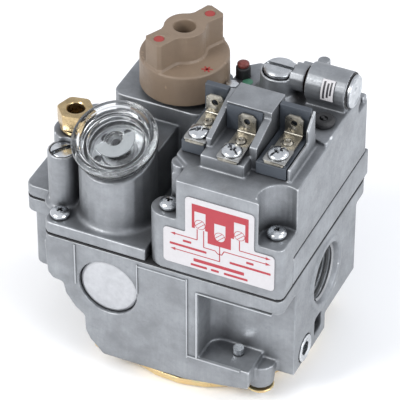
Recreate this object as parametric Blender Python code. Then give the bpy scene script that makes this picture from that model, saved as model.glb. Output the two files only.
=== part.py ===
"""Combination gas valve with a millivolt operator, for a half-inch gas line.

Casting coordinates are used throughout, in millimetres: X runs from the left end of the
front flange to the outlet face, Y runs back from the front face, and Z is height above
the seam between the body and its cover. The empty "valve" carries them to the model's
frame, whose origin is the middle of the bottom cover's flat face.
"""

import math

import bmesh
import bpy
from mathutils import Matrix, Vector

# ---------------------------------------------------------------- driving dimensions, mm
MM = 0.001
GAP = 0.3                      # air kept between pieces that touch

FRONT_LEFT = -3.9              # flange outline
OUTLET_FACE = 82.5
INLET_FACE = -18.1
BACK = 73.7
SEAM = 0.45                    # half of the gap that holds the body gasket
GASKET = 0.5

BODY_BOTTOM = -46.4
BODY_RIGHT_BACK = 64.4
PORT = (37.6, -16.0)           # Y, Z of the pipe thread centre line
PORT_BORE = 9.4
PORT_CHAMFER = 11.4
VALVE_AXIS = (43.0, 37.0)      # X, Y of the main valve
DRUM_RADIUS = 36.2
SEAT_Z = -24.0

COVER_TOP = 5.0
STEP_TOP = 11.0
APRON_LEFT = 33.9
APRON_DEPTH = 9.2

TOWER = (16.4, 16.4)           # reset tower
TOWER_RADIUS = 13.1
TOWER_TOP = 30.8               # height of the slanted mouth on the tower's axis
TILT = math.radians(24.0)

COCK = (23.7, 53.0)            # gas cock axis
KNOB_BASE = 36.0
KNOB_DISC = 47.5
KNOB_TOP = 58.0
KNOB_RADIUS = 15.2
LEVER_ANGLE = math.radians(65.0)

PILOT = (-2.4, 13.5)
PILOT_TOP = 26.0
TUBE = (-2.5, 24.0)
TUBE_BOSS_TOP = 27.5

DECK = 38.2
HEAD_LEFT = 39.2
HEAD_FRONT_LEFT = 44.6
NOTCH = (79.0, 5.2, 7.2)       # X, Y, radius of the screw pocket in the front corner
REGULATOR = (56.0, 58.0)
COIL = (58.3, 45.5)            # Y, Z of the operator coil's axis
COIL_RADIUS = 6.5

BAY_FLOOR = 43.0
BLOCK_TOP = 53.0
TERMINALS = {                  # X, screw Y, rivet Y, tab Y
    "1": (45.0, 18.0, 25.2, 30.6),
    "2": (58.6, 13.4, 20.4, 25.6),
    "3": (72.6, 18.2, 26.0, 31.2),
}

HEAD_SCREWS = {"1": (40.0, 5.6, 22.0), "2": (77.2, 7.4, 21.0)}
COVER_SCREWS = {"1": (0.2, 5.0), "2": (-11.5, 61.0), "3": (30.0, 70.1), "4": (-11.5, 30.5)}
BOTTOM_SCREWS = {"1": (15.0, 8.6), "2": (70.9, 10.7), "3": (13.5, 63.0), "4": (72.0, 63.0)}
REST_Z = -52.0                 # the bottom cover's flat face

FINE = 24                      # sides of large, small and tiny round shapes
SMALL = 14
TINY = 8
PHASE = 4.3                    # degrees that the sides are turned, so no corner meets a flat wall


# ---------------------------------------------------------------- helpers
def clear_scene():
    for item in list(bpy.data.objects):
        bpy.data.objects.remove(item, do_unlink=True)


def material(name, colour, roughness, metallic=0.0, alpha=1.0):
    made = bpy.data.materials.get(name)
    if made is None:
        made = bpy.data.materials.new(name)
        made.use_nodes = True
        shader = made.node_tree.nodes["Principled BSDF"]
        shader.inputs["Base Color"].default_value = (*colour, 1.0)
        shader.inputs["Roughness"].default_value = roughness
        shader.inputs["Metallic"].default_value = metallic
        shader.inputs["Alpha"].default_value = alpha
    return made


def arc(centre, radius, start, end, steps):
    """Points on an arc, angles in degrees."""
    points = []
    for index in range(steps + 1):
        angle = math.radians(start + (end - start) * index / steps)
        points.append((centre[0] + radius * math.cos(angle), centre[1] + radius * math.sin(angle)))
    return points


def rounded(corners, steps=4):
    """An outline from corners (x, y, radius), each turned into an arc."""
    outline = []
    count = len(corners)
    for index, (x, y, radius) in enumerate(corners):
        here = Vector((x, y))
        if radius <= 0:
            outline.append((x, y))
            continue
        before = (Vector(corners[index - 1][:2]) - here).normalized()
        after = (Vector(corners[(index + 1) % count][:2]) - here).normalized()
        half = before.angle(after) / 2
        middle = here + (before + after).normalized() * (radius / math.sin(half))
        first = here + before * (radius / math.tan(half)) - middle
        last = here + after * (radius / math.tan(half)) - middle
        turn = first.angle_signed(last)
        for step in range(steps + 1):
            angle = -turn * step / steps
            spoke = Matrix.Rotation(angle, 2) @ first
            outline.append(tuple(middle + spoke))
    return outline


def rectangle(x0, y0, x1, y1, radius=0.0):
    return rounded([(x0, y0, radius), (x1, y0, radius), (x1, y1, radius), (x0, y1, radius)])


AXES = {
    "Z": lambda a, b, h: (a, b, h),
    "Y": lambda a, b, h: (a, h, b),
    "X": lambda a, b, h: (h, a, b),
}


def mesh_object(name, work, parent=None):
    bmesh.ops.recalc_face_normals(work, faces=work.faces)
    mesh = bpy.data.meshes.new(name)
    work.to_mesh(mesh)
    work.free()
    made = bpy.data.objects.new(name, mesh)
    bpy.context.scene.collection.objects.link(made)
    made.parent = parent
    return made


def prism(outline, low, high, axis="Z"):
    """A closed outline pushed along an axis."""
    place = AXES[axis]
    work = bmesh.new()
    bottom = [work.verts.new(Vector(place(a, b, low)) * MM) for a, b in outline]
    top = [work.verts.new(Vector(place(a, b, high)) * MM) for a, b in outline]
    count = len(outline)
    work.faces.new(bottom)
    work.faces.new(top)
    for index in range(count):
        after = (index + 1) % count
        work.faces.new((bottom[index], bottom[after], top[after], top[index]))
    return mesh_object("blank", work)


def box(x0, y0, z0, x1, y1, z1):
    return prism(rectangle(x0, y0, x1, y1), z0, z1)


def turned(profile, centre=(0, 0), axis="Z", steps=FINE, turn=None):
    """A solid of revolution. The profile holds (radius, height), from one end to the other."""
    place = AXES[axis]
    work = bmesh.new()
    rings = []
    for radius, height in profile:
        if radius > 0:
            ring = arc(centre, radius, PHASE, PHASE + 360, steps)[:-1]
            rings.append([work.verts.new(Vector(place(a, b, height)) * MM) for a, b in ring])
    pairs = list(zip(rings, rings[1:]))
    if profile[0][0] > 0:
        pairs.append((rings[-1], rings[0]))
    else:
        work.faces.new(rings[0])
        work.faces.new(rings[-1])
    for lower, upper in pairs:
        for index in range(steps):
            after = (index + 1) % steps
            work.faces.new((lower[index], lower[after], upper[after], upper[index]))
    if turn is not None:
        work.transform(turn)
    return mesh_object("blank", work)


def rod(centre, radius, low, high, axis="Z", steps=FINE, turn=None):
    profile = [(0, low), (radius, low), (radius, high), (0, high)]
    return turned(profile, centre, axis, steps, turn)


def join_solids(base, other, operation):
    """Boolean with the exact solver, made permanent; the other solid is used up."""
    change = base.modifiers.new("shape", "BOOLEAN")
    change.operation = operation
    change.solver = "EXACT"
    change.object = other
    scene_state = bpy.context.evaluated_depsgraph_get()
    mesh = bpy.data.meshes.new_from_object(base.evaluated_get(scene_state))
    base.modifiers.remove(change)
    base.data = mesh
    bpy.data.objects.remove(other, do_unlink=True)
    return base


def build_up(first, adds=(), cuts=()):
    for solid in adds:
        join_solids(first, solid, "UNION")
    for solid in cuts:
        join_solids(first, solid, "DIFFERENCE")
    return first


def finish(solid, name, finish_material, parent, origin=None):
    """Names a piece, gives it its finish and puts its origin where asked."""
    solid.name = name
    solid.data.name = name
    solid.data.materials.clear()
    solid.data.materials.append(finish_material)
    if origin is not None:
        place = Vector(origin) * MM
        solid.data.transform(Matrix.Translation(-place))
        solid.location = place
    solid.data.shade_smooth()
    solid.data.set_sharp_from_angle(angle=math.radians(32))
    solid.parent = parent
    return solid


def tilted(depth_origin=0.0):
    """Places a shape made round Z on the reset button's slanted axis."""
    shift = Matrix.Translation(Vector((TOWER[0], TOWER[1], TOWER_TOP)) * MM)
    return shift @ Matrix.Rotation(TILT, 4, "X") @ Matrix.Translation((0, 0, depth_origin * MM))


def hexagon(centre, across_flats, spin=0.0):
    radius = across_flats / math.sqrt(3)
    return arc(centre, radius, spin, spin + 360, 6)[:-1]


def coil_spring(name, centre, radius, wire, low, high, turns, finish_material, parent, turn=None):
    """A compression spring: one helix swept by a curve bevel."""
    curve = bpy.data.curves.new(name, "CURVE")
    curve.dimensions = "3D"
    curve.bevel_depth = wire * MM
    curve.bevel_resolution = 0
    curve.use_fill_caps = True
    steps = turns * 9
    path = curve.splines.new("POLY")
    path.points.add(steps)
    for index in range(steps + 1):
        angle = 2 * math.pi * index / 9
        height = low + wire + (high - low - 2 * wire) * index / steps
        point = Vector((centre[0] + radius * math.cos(angle), centre[1] + radius * math.sin(angle), height))
        point = point * MM
        if turn is not None:
            point = turn @ point
        path.points[index].co = (*point, 1.0)
    made = bpy.data.objects.new(name, curve)
    bpy.context.scene.collection.objects.link(made)
    made.data.materials.append(finish_material)
    made.parent = parent
    return made


def flange_outline():
    return rounded([
        (FRONT_LEFT, 0, 3), (OUTLET_FACE, 0, 2.6), (OUTLET_FACE, BACK, 4), (-4, BACK, 3),
        (-4, 66, 0), (INLET_FACE, 66, 4), (INLET_FACE, 15, 3), (FRONT_LEFT, 15, 0),
    ])


# ---------------------------------------------------------------- finishes
def finishes():
    return {
        "cast": material("cast_aluminium", (0.50, 0.53, 0.56), 0.45, 0.85),
        "gasket": material("gasket_black", (0.02, 0.02, 0.022), 0.8),
        "zinc": material("zinc_plate", (0.72, 0.74, 0.76), 0.25, 1.0),
        "bright": material("bright_aluminium", (0.78, 0.79, 0.80), 0.3, 1.0),
        "brass": material("brass", (0.78, 0.58, 0.25), 0.3, 1.0),
        "chromate": material("yellow_chromate", (0.80, 0.66, 0.36), 0.35, 0.9),
        "plastic": material("grey_plastic", (0.10, 0.11, 0.125), 0.5),
        "knob": material("tan_plastic", (0.52, 0.38, 0.25), 0.5),
        "clear": material("clear_plastic", (0.85, 0.90, 0.92), 0.08, 0.0, 0.35),
        "nickel": material("nickel_brass", (0.55, 0.51, 0.42), 0.35, 1.0),
        "rubber": material("black_rubber", (0.02, 0.02, 0.022), 0.7),
        "red": material("red_brown_seal", (0.25, 0.06, 0.05), 0.4),
        "label": material("white_label", (0.85, 0.85, 0.86), 0.5),
        "steel": material("steel", (0.60, 0.61, 0.62), 0.35, 1.0),
        "copper": material("coil_winding", (0.45, 0.22, 0.12), 0.4, 0.6),
    }


# ---------------------------------------------------------------- castings
def main_body(look, parent):
    top = -SEAM
    drum = (42.0, 36.5)
    solid = prism(flange_outline(), -6.2, top)
    side_profile = [
        (FRONT_LEFT + 0.3, -3), (FRONT_LEFT + 1.1, -16.5), (-1.0, -18.8), (2.8, -19.4), (3.8, -23.9), (7.3, -28.8),
        (10.6, -31.4), (10.9, -37.9), (12.5, -41.3), (17.4, BODY_BOTTOM), (48.0, BODY_BOTTOM), (64.0, -43.8), (71.2, -42.4),
        (71.2, -3),
    ]
    adds = [
        prism(side_profile, 0.01, 12.6, "Y"),
        box(8.0, 12.0, -33.0, 60.0, BODY_RIGHT_BACK, -3.0),
        box(55.0, 12.0, -34.8, OUTLET_FACE - 0.01, BODY_RIGHT_BACK, -3.0),
        box(55.0, 12.01, -41.6, OUTLET_FACE - 0.02, 39.0, -30.0),
        rod(drum, DRUM_RADIUS, BODY_BOTTOM + 0.01, -30.0),
        prism(rounded([(INLET_FACE + 0.01, 20, 3), (12, 20, 0), (12, 58, 0), (INLET_FACE + 0.01, 58, 3)]), -33.0, -3.0),
        rod(PORT, 13.2, 60.0, OUTLET_FACE + 0.7, "X"),
        rod(PORT, 13.2, INLET_FACE - 0.7, 8.0, "X"),
    ]
    for x, y in BOTTOM_SCREWS.values():
        adds.append(turned([(0, BODY_BOTTOM + 0.02), (4.7, BODY_BOTTOM + 0.02), (5.6, -37.0), (0, -37.0)], (x, y),
                           steps=SMALL))
    recess = rounded([(52.7, 12, 5), (52.7, -4, 0), (90, -4, 0), (90, 12, 0)])
    cuts = [
        prism(recess, -34.9, -6.6),
        prism([(71.2, -40.0), (90, -40.0), (90, -60), (67.8, -60)], -4, 4.6, "Y"),
        rod((19.6, -16.2), 10.7, -2.0, 4.2, "Y"),
        turned([(0, 61), (PORT_BORE, 61), (PORT_BORE, 81.2), (PORT_CHAMFER + 1, 84.2), (0, 84.2)], PORT, "X"),
        turned([(0, -19.8), (PORT_CHAMFER + 1, -19.8), (PORT_BORE, -16.8), (PORT_BORE, 7.3), (0, 7.3)], PORT, "X"),
        rod(VALVE_AXIS, 14.0, SEAT_Z, 5.0),
        box(50.0, 29.0, -23.9, 62.0, 46.0, -8.0),
        rod(VALVE_AXIS, 7.5, -30.0, -20.0, steps=SMALL),
        rod(VALVE_AXIS, 11.0, -37.0, -27.5),
        box(9.0, 31.0, -36.9, 40.0, 43.0, -27.6),
        box(6.0, 26.0, -36.8, 25.5, 49.0, 4.0),
        rod(VALVE_AXIS, 27.0, -50.0, -40.0),
        rod(VALVE_AXIS, 2.4, -41.0, -36.0, steps=TINY),
        rod((21.3, -36.6), 5.2, 73.0, 90.0, "X", SMALL),
        prism(rectangle(29.5, -38.2, 35.5, -31.0, 1.2), 78.0, 90.0, "X"),
        rod((64.0, 8.0), 1.3, -40.0, -33.0, steps=TINY),
    ]
    for x, y in COVER_SCREWS.values():
        cuts.append(rod((x, y), 2.1, -9.0, 2.0, steps=TINY))
    for x, y, _ in HEAD_SCREWS.values():
        cuts.append(rod((x, y), 2.1, -5.6, 2.0, steps=TINY))
    for x, y in BOTTOM_SCREWS.values():
        cuts.append(rod((x, y), 2.1, -50.0, -38.0, steps=TINY))
    return finish(build_up(solid, adds, cuts), "main_body", look["cast"], parent)


def body_gasket(look, parent):
    solid = prism(flange_outline(), -GASKET / 2, GASKET / 2)
    cuts = [
        rod(VALVE_AXIS, 15.0, -2, 2),
        box(5.0, 25.0, -2, 26.5, 62.0, 2),
    ]
    for x, y in list(COVER_SCREWS.values()) + [screw[:2] for screw in HEAD_SCREWS.values()]:
        cuts.append(rod((x, y), 2.2, -2, 2, steps=TINY))
    return finish(build_up(solid, [], cuts), "body_gasket", look["gasket"], parent)


def top_cover(look, parent):
    solid = prism(flange_outline(), SEAM, COVER_TOP)
    tower = rod(TOWER, TOWER_RADIUS, SEAM + 0.01, 46.0)
    mouth = prism(rectangle(-40, -40, 40, 40), 0, 40)
    mouth.data.transform(tilted())
    build_up(tower, [], [mouth])
    adds = [
        box(38.8, APRON_DEPTH + GAP, SEAM + 0.02, OUTLET_FACE - 0.01, BACK - 0.01, STEP_TOP),
        tower,
        box(7.0, 24.0, SEAM + 0.03, 27.5, 42.0, 27.0),
        rod(PILOT, 5.2, 3.0, PILOT_TOP),
        rod(TUBE, 7.6, 3.01, TUBE_BOSS_TOP),
        box(-2.5, 16.0, 3.02, 8.0, 30.0, 24.0),
        prism(rounded([(3.0, 39.5, 4), (37.4, 39.5, 5), (37.4, 66.4, 5), (3.0, 66.4, 5)]), 3.03, 33.4),
        rod(COCK, 11.5, 30.0, KNOB_BASE - 0.4),
    ]
    cuts = [
        box(APRON_LEFT - GAP, -5, -2, 90, APRON_DEPTH + GAP - 0.01, 6),
        rod((0, 0), 11.8, -5.9, 20, turn=tilted()),
        rod((0, 0), 6.0, -16.0, 5, steps=SMALL, turn=tilted()),
        rod((0, 0), 2.3, -40.0, 0, steps=TINY, turn=tilted()),
        rod(COCK, 3.5, 15.0, 40.0, steps=SMALL),
        turned([(0, -2), (8.9, -2), (8.9, SEAM), (7.7, 20.0), (0, 20.0)], COCK),
        rod(PILOT, 4.4, 21.5, 40.0, steps=SMALL),
        rod(PILOT, 1.8, 10.0, 40.0, steps=TINY),
        rod(TUBE, 4.6, 14.0, 40.0, steps=SMALL),
        rod((57.2, 42.6), 4.6, -2, 21, steps=TINY),
    ]
    for x, y in COVER_SCREWS.values():
        cuts.append(rod((x, y), 2.1, -2, 12, steps=TINY))
    return finish(build_up(solid, adds, cuts), "top_cover", look["cast"], parent)


def head_gasket(look, parent):
    inset = 0.7
    solid = box(HEAD_LEFT + inset, APRON_DEPTH + GAP + 1, STEP_TOP + 0.25,
                OUTLET_FACE - inset, 72.4 - inset, STEP_TOP + 0.75)
    window = box(47.5, 15.5, STEP_TOP - 2, 75.5, 64.5, STEP_TOP + 3)
    return finish(build_up(solid, [], [window]), "head_gasket", look["gasket"], parent)


def wedge_wall(x0, x1, front, front_top, back):
    """A wall between two terminals, whose top slopes up to the plateau."""
    low = DECK - 0.9
    return prism([(front, low), (front, front_top), (back, BLOCK_TOP - 0.02), (back, low)], x0, x1, "X")


def operator_head(look, parent):
    low = STEP_TOP + 1.0
    face = OUTLET_FACE
    solid = prism(rounded([
        (HEAD_FRONT_LEFT, 0, 1.0), (face, 0, 2.6), (face, 12, 0), (HEAD_FRONT_LEFT, 12, 0),
    ]), SEAM, DECK)
    screw_boss = [rod((39.7, 5.6), 5.6, SEAM + 0.01, 22.0), box(39.7, 0.01, SEAM + 0.02, 46.0, 11.2, 21.98)]
    room_for_cover = box(HEAD_LEFT - 20, APRON_DEPTH, -5, face + 5, 20, low)
    build_up(solid, screw_boss, [room_for_cover])
    deck_outline = rounded([
        (HEAD_LEFT, 13.0, 1), (HEAD_FRONT_LEFT, 9.0, 0), (face - 0.01, 9.0, 0), (face - 0.01, 65.0, 3),
        (66.0, 65.0, 0), (62.0, 69.4, 0), (44.0, 69.4, 1), (HEAD_LEFT, 65.0, 1),
    ])
    adds = [
        prism(deck_outline, 20.0, DECK - 0.01),
        prism(rounded([(HEAD_LEFT, 9.01, 0), (face - 0.02, 9.01, 0), (face - 0.02, 72.4, 2.5), (HEAD_LEFT, 72.4, 2)]),
              low, 33.0),
        rod((41.4, 12.6), 3.5, 15.0, 36.0, steps=SMALL),
        turned([(0, 36), (8.2, 36), (8.2, DECK + 0.3), (6.6, DECK + 1.8), (6.6, 46.5), (0, 46.5)], REGULATOR),
        prism(rounded([(66.5, 54.0, 0), (75.6, 37.4, 1), (82.2, 35.4, 1), (82.3, 64.8, 0), (66.5, 64.8, 0)]),
              DECK - 2, 39.6),
        rod(COIL, COIL_RADIUS, 67.0, 81.4, "X"),
        box(67.5, 53.2, 37.0, 81.0, 63.4, 45.0),
        rod(COIL, 4.8, 60.8, 69.0, "X", SMALL),
        box(61.2, 61.4, 37.0, 65.6, 66.6, 46.2),
        rod((66.8, 69.8), 2.2, 30.0, 46.0, steps=SMALL),
        box(78.6, 69.0, 30.0, 81.6, 72.2, 35.0),
        box(49.0, 9.8, DECK - 1.0, 64.4, 28.0, BAY_FLOOR),
        box(50.4, 27.2, DECK - 1.1, 66.28, 38.6, BLOCK_TOP),
        wedge_wall(48.6, 50.6, 14.9, 46.2, 34.8),
        wedge_wall(63.59, 66.3, 15.4, 46.8, 34.7),
        wedge_wall(77.4, 78.58, 29.0, 48.0, 34.6),
        box(77.41, 14.0, DECK - 1.2, 78.59, 35.2, BAY_FLOOR + 0.2),
    ]
    cuts = [
        rod(NOTCH[:2], NOTCH[2], 21.0, 60.0),
        box(46.0, 13.0, 5.0, 76.0, 67.0, 31.0),
        turned([(0, 25), (5.0, 25), (5.0, 43.2), (5.8, 43.2), (5.8, 60), (0, 60)], REGULATOR, steps=SMALL),
        rod(COIL, 5.4, 66.0, 90.0, "X"),
        rod((76.9, 45.6), 2.7, 34.0, 60.0, steps=TINY),
        rod((41.8, 51.4), 2.1, 34.0, 60.0, steps=TINY),
        rod((41.8, 60.2), 2.1, 34.0, 60.0, steps=TINY),
    ]
    for x, y, _ in HEAD_SCREWS.values():
        cuts.append(rod((x, y), 2.1, -2, 40, steps=TINY))
    for x, screw_y, rivet_y, _ in TERMINALS.values():
        cuts.append(rod((x, screw_y), 2.4, 33.0, 60.0, steps=TINY))
    return finish(build_up(solid, adds, cuts), "operator_head", look["cast"], parent)


# ---------------------------------------------------------------- main valve
def bottom_cover(look, parent):
    drum = (42.0, 36.5)
    top = BODY_BOTTOM - 1.1
    plate = top - 1.0
    solid = turned([(0, REST_Z), (33.0, REST_Z), (34.4, REST_Z + 0.8), (34.8, plate), (DRUM_RADIUS - 0.4, plate),
                    (DRUM_RADIUS - 0.4, top), (33.9, top), (33.4, REST_Z + 1.9), (32.4, REST_Z + 1), (0, REST_Z + 1)],
                   drum)
    adds = []
    for x, y in BOTTOM_SCREWS.values():
        adds.append(rod((x, y), 4.8, plate + 0.02, top - 0.02, steps=SMALL))
        reach = Vector(drum) - Vector((x, y))
        side = reach.normalized().orthogonal() * 3.6
        inner = Vector((x, y)) + reach.normalized() * (reach.length - 34.7)
        tongue = [tuple(Vector((x, y)) + side), tuple(Vector((x, y)) - side), tuple(inner - side), tuple(inner + side)]
        adds.append(prism(tongue, plate + 0.03, top - 0.03))
    cuts = [rod((x, y), 2.1, -60, -40, steps=TINY) for x, y in BOTTOM_SCREWS.values()]
    return finish(build_up(solid, adds, cuts), "bottom_cover", look["chromate"], parent)


def main_valve(look, parent):
    drum = (42.0, 36.5)
    diaphragm = rod(drum, DRUM_RADIUS - 0.8, BODY_BOTTOM - 0.8, BODY_BOTTOM - 0.3)
    finish(diaphragm, "main_diaphragm", look["rubber"], parent)
    origin = (*VALVE_AXIS, SEAT_Z)
    plate = rod(VALVE_AXIS, 19.0, BODY_BOTTOM + 0.1, BODY_BOTTOM + 1.3)
    finish(plate, "diaphragm_plate", look["steel"], parent, origin)
    stem = rod(VALVE_AXIS, 2.0, BODY_BOTTOM + 1.6, SEAT_Z - GAP + 0.3, steps=TINY)
    finish(stem, "valve_stem", look["steel"], parent, origin)
    disc = turned([(0, SEAT_Z + GAP), (9.6, SEAT_Z + GAP), (9.6, SEAT_Z + 2.2), (4.5, SEAT_Z + 3.4), (0, SEAT_Z + 3.4)],
                  VALVE_AXIS)
    finish(disc, "main_valve_disc", look["rubber"], parent, origin)
    coil_spring("main_spring", VALVE_AXIS, 6.6, 0.45, SEAT_Z + 3.7, -0.2, 5, look["steel"], parent)


def inlet_screen(look, parent):
    solid = rod(PORT, 9.0, 2.0, 2.8, "X", SMALL)
    cuts = [rod(PORT, 2.2, 0, 5, "X", 8)]
    for a, b in arc(PORT, 5.6, 0, 360, 6)[:-1]:
        cuts.append(rod((a, b), 2.2, 0, 5, "X", 8))
    return finish(build_up(solid, [], cuts), "inlet_screen", look["steel"], parent)


def front_plug(look, parent):
    solid = turned([(0, 3.9), (10.3, 3.9), (10.3, 2.2), (9.0, 1.6), (0, 1.1)], (19.6, -16.2), "Y")
    return finish(solid, "front_plug", look["bright"], parent)


def pressure_tap_plug(look, parent):
    centre = (21.3, -36.6)
    solid = turned([(0, 75.0), (4.9, 75.0), (4.9, 82.6), (4.4, 83.0), (0, 83.0)], centre, "X", SMALL)
    socket = prism(hexagon(centre, 4.8, 10), 79.0, 90.0, "X")
    return finish(build_up(solid, [], [socket]), "pressure_tap_plug", look["bright"], parent)


def pocket_stud(look, parent):
    solid = turned([(0, -39.5), (1.0, -39.5), (1.0, -34.6), (1.9, -34.6), (1.9, -32.4), (0, -32.4)], (64.0, 8.0),
                   steps=TINY)
    return finish(solid, "pocket_stud", look["zinc"], parent)


# ---------------------------------------------------------------- pilot side
def tube_fitting(look, parent):
    x, y = TUBE
    base = TUBE_BOSS_TOP + GAP
    solid = turned([(0, 19), (4.2, 19), (4.2, base), (5.4, base), (5.4, base + 1.1), (4.7, base + 1.1),
                    (4.7, base + 3), (0, base + 3)], TUBE, steps=SMALL)
    nut = prism(hexagon(TUBE, 11.1, 12), base + 2.0, base + 8.0)
    build_up(solid, [nut], [rod(TUBE, 3.25, 10.0, 60.0, steps=16)])
    finish(solid, "tube_nut", look["brass"], parent)
    ferrule = turned([(2.7, 15.0), (4.2, 15.0), (4.2, 17.0), (3.4, 18.6), (2.7, 18.6)], (x, y), steps=SMALL)
    finish(ferrule, "tube_ferrule", look["brass"], parent)


def pilot_adjuster(look, parent):
    solid = turned([(0, 12.0), (1.4, 12.0), (1.4, 21.8), (4.1, 21.8), (4.1, 25.6), (3.7, 26.0), (0, 26.0)], PILOT,
                   steps=SMALL)
    slot = box(PILOT[0] - 5, PILOT[1] - 0.7, 24.2, PILOT[0] + 5, PILOT[1] + 0.7, 30)
    return finish(build_up(solid, [], [slot]), "pilot_adjust_screw", look["zinc"], parent, (*PILOT, PILOT_TOP))


# ---------------------------------------------------------------- reset button
def reset_group(look, parent):
    origin = (*TOWER, TOWER_TOP)
    brim = 3.9
    body = turned([(0, brim - 1.2), (2.6, brim - 1.2), (2.6, -1.0), (3.6, -1.0), (3.6, brim - 0.4),
                   (9.9, brim - 0.4), (9.9, -2.0), (11.5, -2.0), (11.5, brim), (14.6, brim), (14.6, brim + 1.8),
                   (13.9, brim + 2.9), (12.3, brim + 3.1), (11.6, brim + 1.2), (0, brim + 1.2)], turn=tilted())
    half_moon = prism(arc((0, 0), 6.5, -138, 42, 9), brim + 1.0, brim + 2.2)
    half_moon.data.transform(tilted())
    build_up(body, [half_moon])
    finish(body, "reset_button", look["clear"], parent, origin)
    stem = rod((0, 0), 1.9, -36.2, brim - 1.5, steps=TINY, turn=tilted())
    finish(stem, "reset_stem", look["steel"], parent, origin)
    coil_spring("reset_spring", (0, 0), 4.9, 0.4, -15.7, 3.2, 6, look["steel"], parent, tilted())
    disc = rod((0, 0), 4.6, -38.2, -36.5, steps=SMALL, turn=tilted())
    finish(disc, "safety_valve", look["rubber"], parent, origin)
    magnet = turned([(0, -54.0), (5.0, -54.0), (6.0, -52.5), (6.0, -42.3), (0, -42.3)], steps=SMALL, turn=tilted())
    finish(magnet, "magnet_unit", look["steel"], parent)


# ---------------------------------------------------------------- gas cock
def knob(look, parent):
    turn_axis = (*COCK, KNOB_BASE)
    skirt = turned([(0, KNOB_DISC - 1.6), (13.4, KNOB_DISC - 1.6), (13.9, KNOB_BASE), (KNOB_RADIUS, KNOB_BASE),
                    (KNOB_RADIUS, KNOB_DISC - 0.8), (KNOB_RADIUS - 0.8, KNOB_DISC), (0, KNOB_DISC)], (0, 0))
    hub = rod((0, 0), 7.2, KNOB_DISC - 1.0, KNOB_TOP)
    end = 14.3
    edge = [(-end, -3.9), (-10.5, -3.8), (-7.0, -4.9), (7.0, -4.9), (10.5, -3.8), (end, -3.9)]
    lever_outline = edge + [(-x, -y) for x, y in edge]
    lever = prism(lever_outline, KNOB_DISC - 1.2, KNOB_TOP - 0.01)
    lever.data.transform(Matrix.Rotation(LEVER_ANGLE, 4, "Z"))
    post = rod((0, 0), 5.2, KNOB_BASE + 1.2, KNOB_DISC, steps=SMALL)
    bore = rod((0, 0), 3.8, 50.5, 70.0, steps=SMALL)
    socket = rod((0, 0), 3.4, 30.0, 47.0, steps=SMALL)
    build_up(skirt, [hub, lever, post], [bore, socket])
    skirt.data.transform(Matrix.Translation(Vector((*COCK, 0)) * MM))
    finish(skirt, "gas_cock_knob", look["knob"], parent, turn_axis)
    stem = rod(COCK, 3.1, 20.2, 46.6, steps=SMALL)
    finish(stem, "cock_stem", look["steel"], parent, turn_axis)
    plug = turned([(0, 1.2), (8.4, 1.2), (7.3, 19.6), (0, 19.6)], COCK)
    port = rod((COCK[0] + 8.0, 8.0), 3.0, COCK[1] - 12.0, COCK[1] + 12.0, "Y", TINY)
    build_up(plug, [], [port])
    finish(plug, "cock_plug", look["brass"], parent, turn_axis)


# ---------------------------------------------------------------- regulator
def regulator(look, parent):
    x, y = REGULATOR
    cap = turned([(0, 43.5), (5.5, 43.5), (5.5, 47.6), (4.9, 48.3), (0, 48.3)], REGULATOR)
    slot = box(x - 8, y - 0.65, 46.9, x + 8, y + 0.65, 60)
    finish(build_up(cap, [], [slot]), "regulator_cap", look["bright"], parent)
    screw = rod(REGULATOR, 4.7, 39.2, 42.9, steps=SMALL)
    bit = box(x - 3, y - 0.5, 41.4, x + 3, y + 0.5, 60)
    finish(build_up(screw, [], [bit]), "regulator_screw", look["nickel"], parent, (x, y, 41.0))
    seat = turned([(0, 34.2), (4.5, 34.2), (4.5, 35.6), (2.0, 36.2), (0, 36.2)], REGULATOR, steps=SMALL)
    finish(seat, "spring_seat", look["steel"], parent, (x, y, 35.0))
    coil_spring("regulator_spring", REGULATOR, 3.6, 0.35, 17.4, 33.9, 6, look["steel"], parent)
    disc = turned([(0, 16.0), (8.8, 16.0), (8.8, 16.6), (4.6, 17.1), (0, 17.1)], REGULATOR)
    finish(disc, "regulator_diaphragm", look["rubber"], parent)


# ---------------------------------------------------------------- operator coil
def operator(look, parent):
    coil = turned([(2.4, 68.0), (5.0, 68.0), (5.0, 78.0), (2.4, 78.0)], COIL, "X", SMALL)
    finish(coil, "operator_coil", look["copper"], parent)
    plunger = rod(COIL, 1.9, 68.4, 77.6, "X", TINY)
    finish(plunger, "operator_plunger", look["steel"], parent, (73.0, *COIL))
    cap = turned([(0, 79.5), (5.1, 79.5), (5.1, 81.7), (5.7, 81.7), (5.7, 82.9), (5.2, 83.2), (0, 83.2)], COIL, "X")
    finish(cap, "coil_end_cap", look["bright"], parent)
    profile = [(1.4, 36.0), (2.4, 36.0), (2.4, 39.9), (3.7, 39.9), (3.7, 41.4), (3.0, 42.0), (1.4, 42.0)]
    grommet = turned(profile, (76.9, 45.6), steps=SMALL)
    finish(grommet, "wire_grommet", look["rubber"], parent)
    post = turned([(0, 34.4), (1.8, 34.4), (1.8, 44.0), (0, 44.0)], (41.8, 60.2), steps=TINY)
    finish(post, "sealed_post", look["red"], parent)
    screw = turned([(0, 34.4), (1.8, 34.4), (1.8, DECK + GAP), (2.5, DECK + GAP), (2.5, 41.0), (0, 41.0)], (41.8, 51.4),
                   steps=TINY)
    finish(screw, "deck_screw", look["zinc"], parent)


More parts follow.
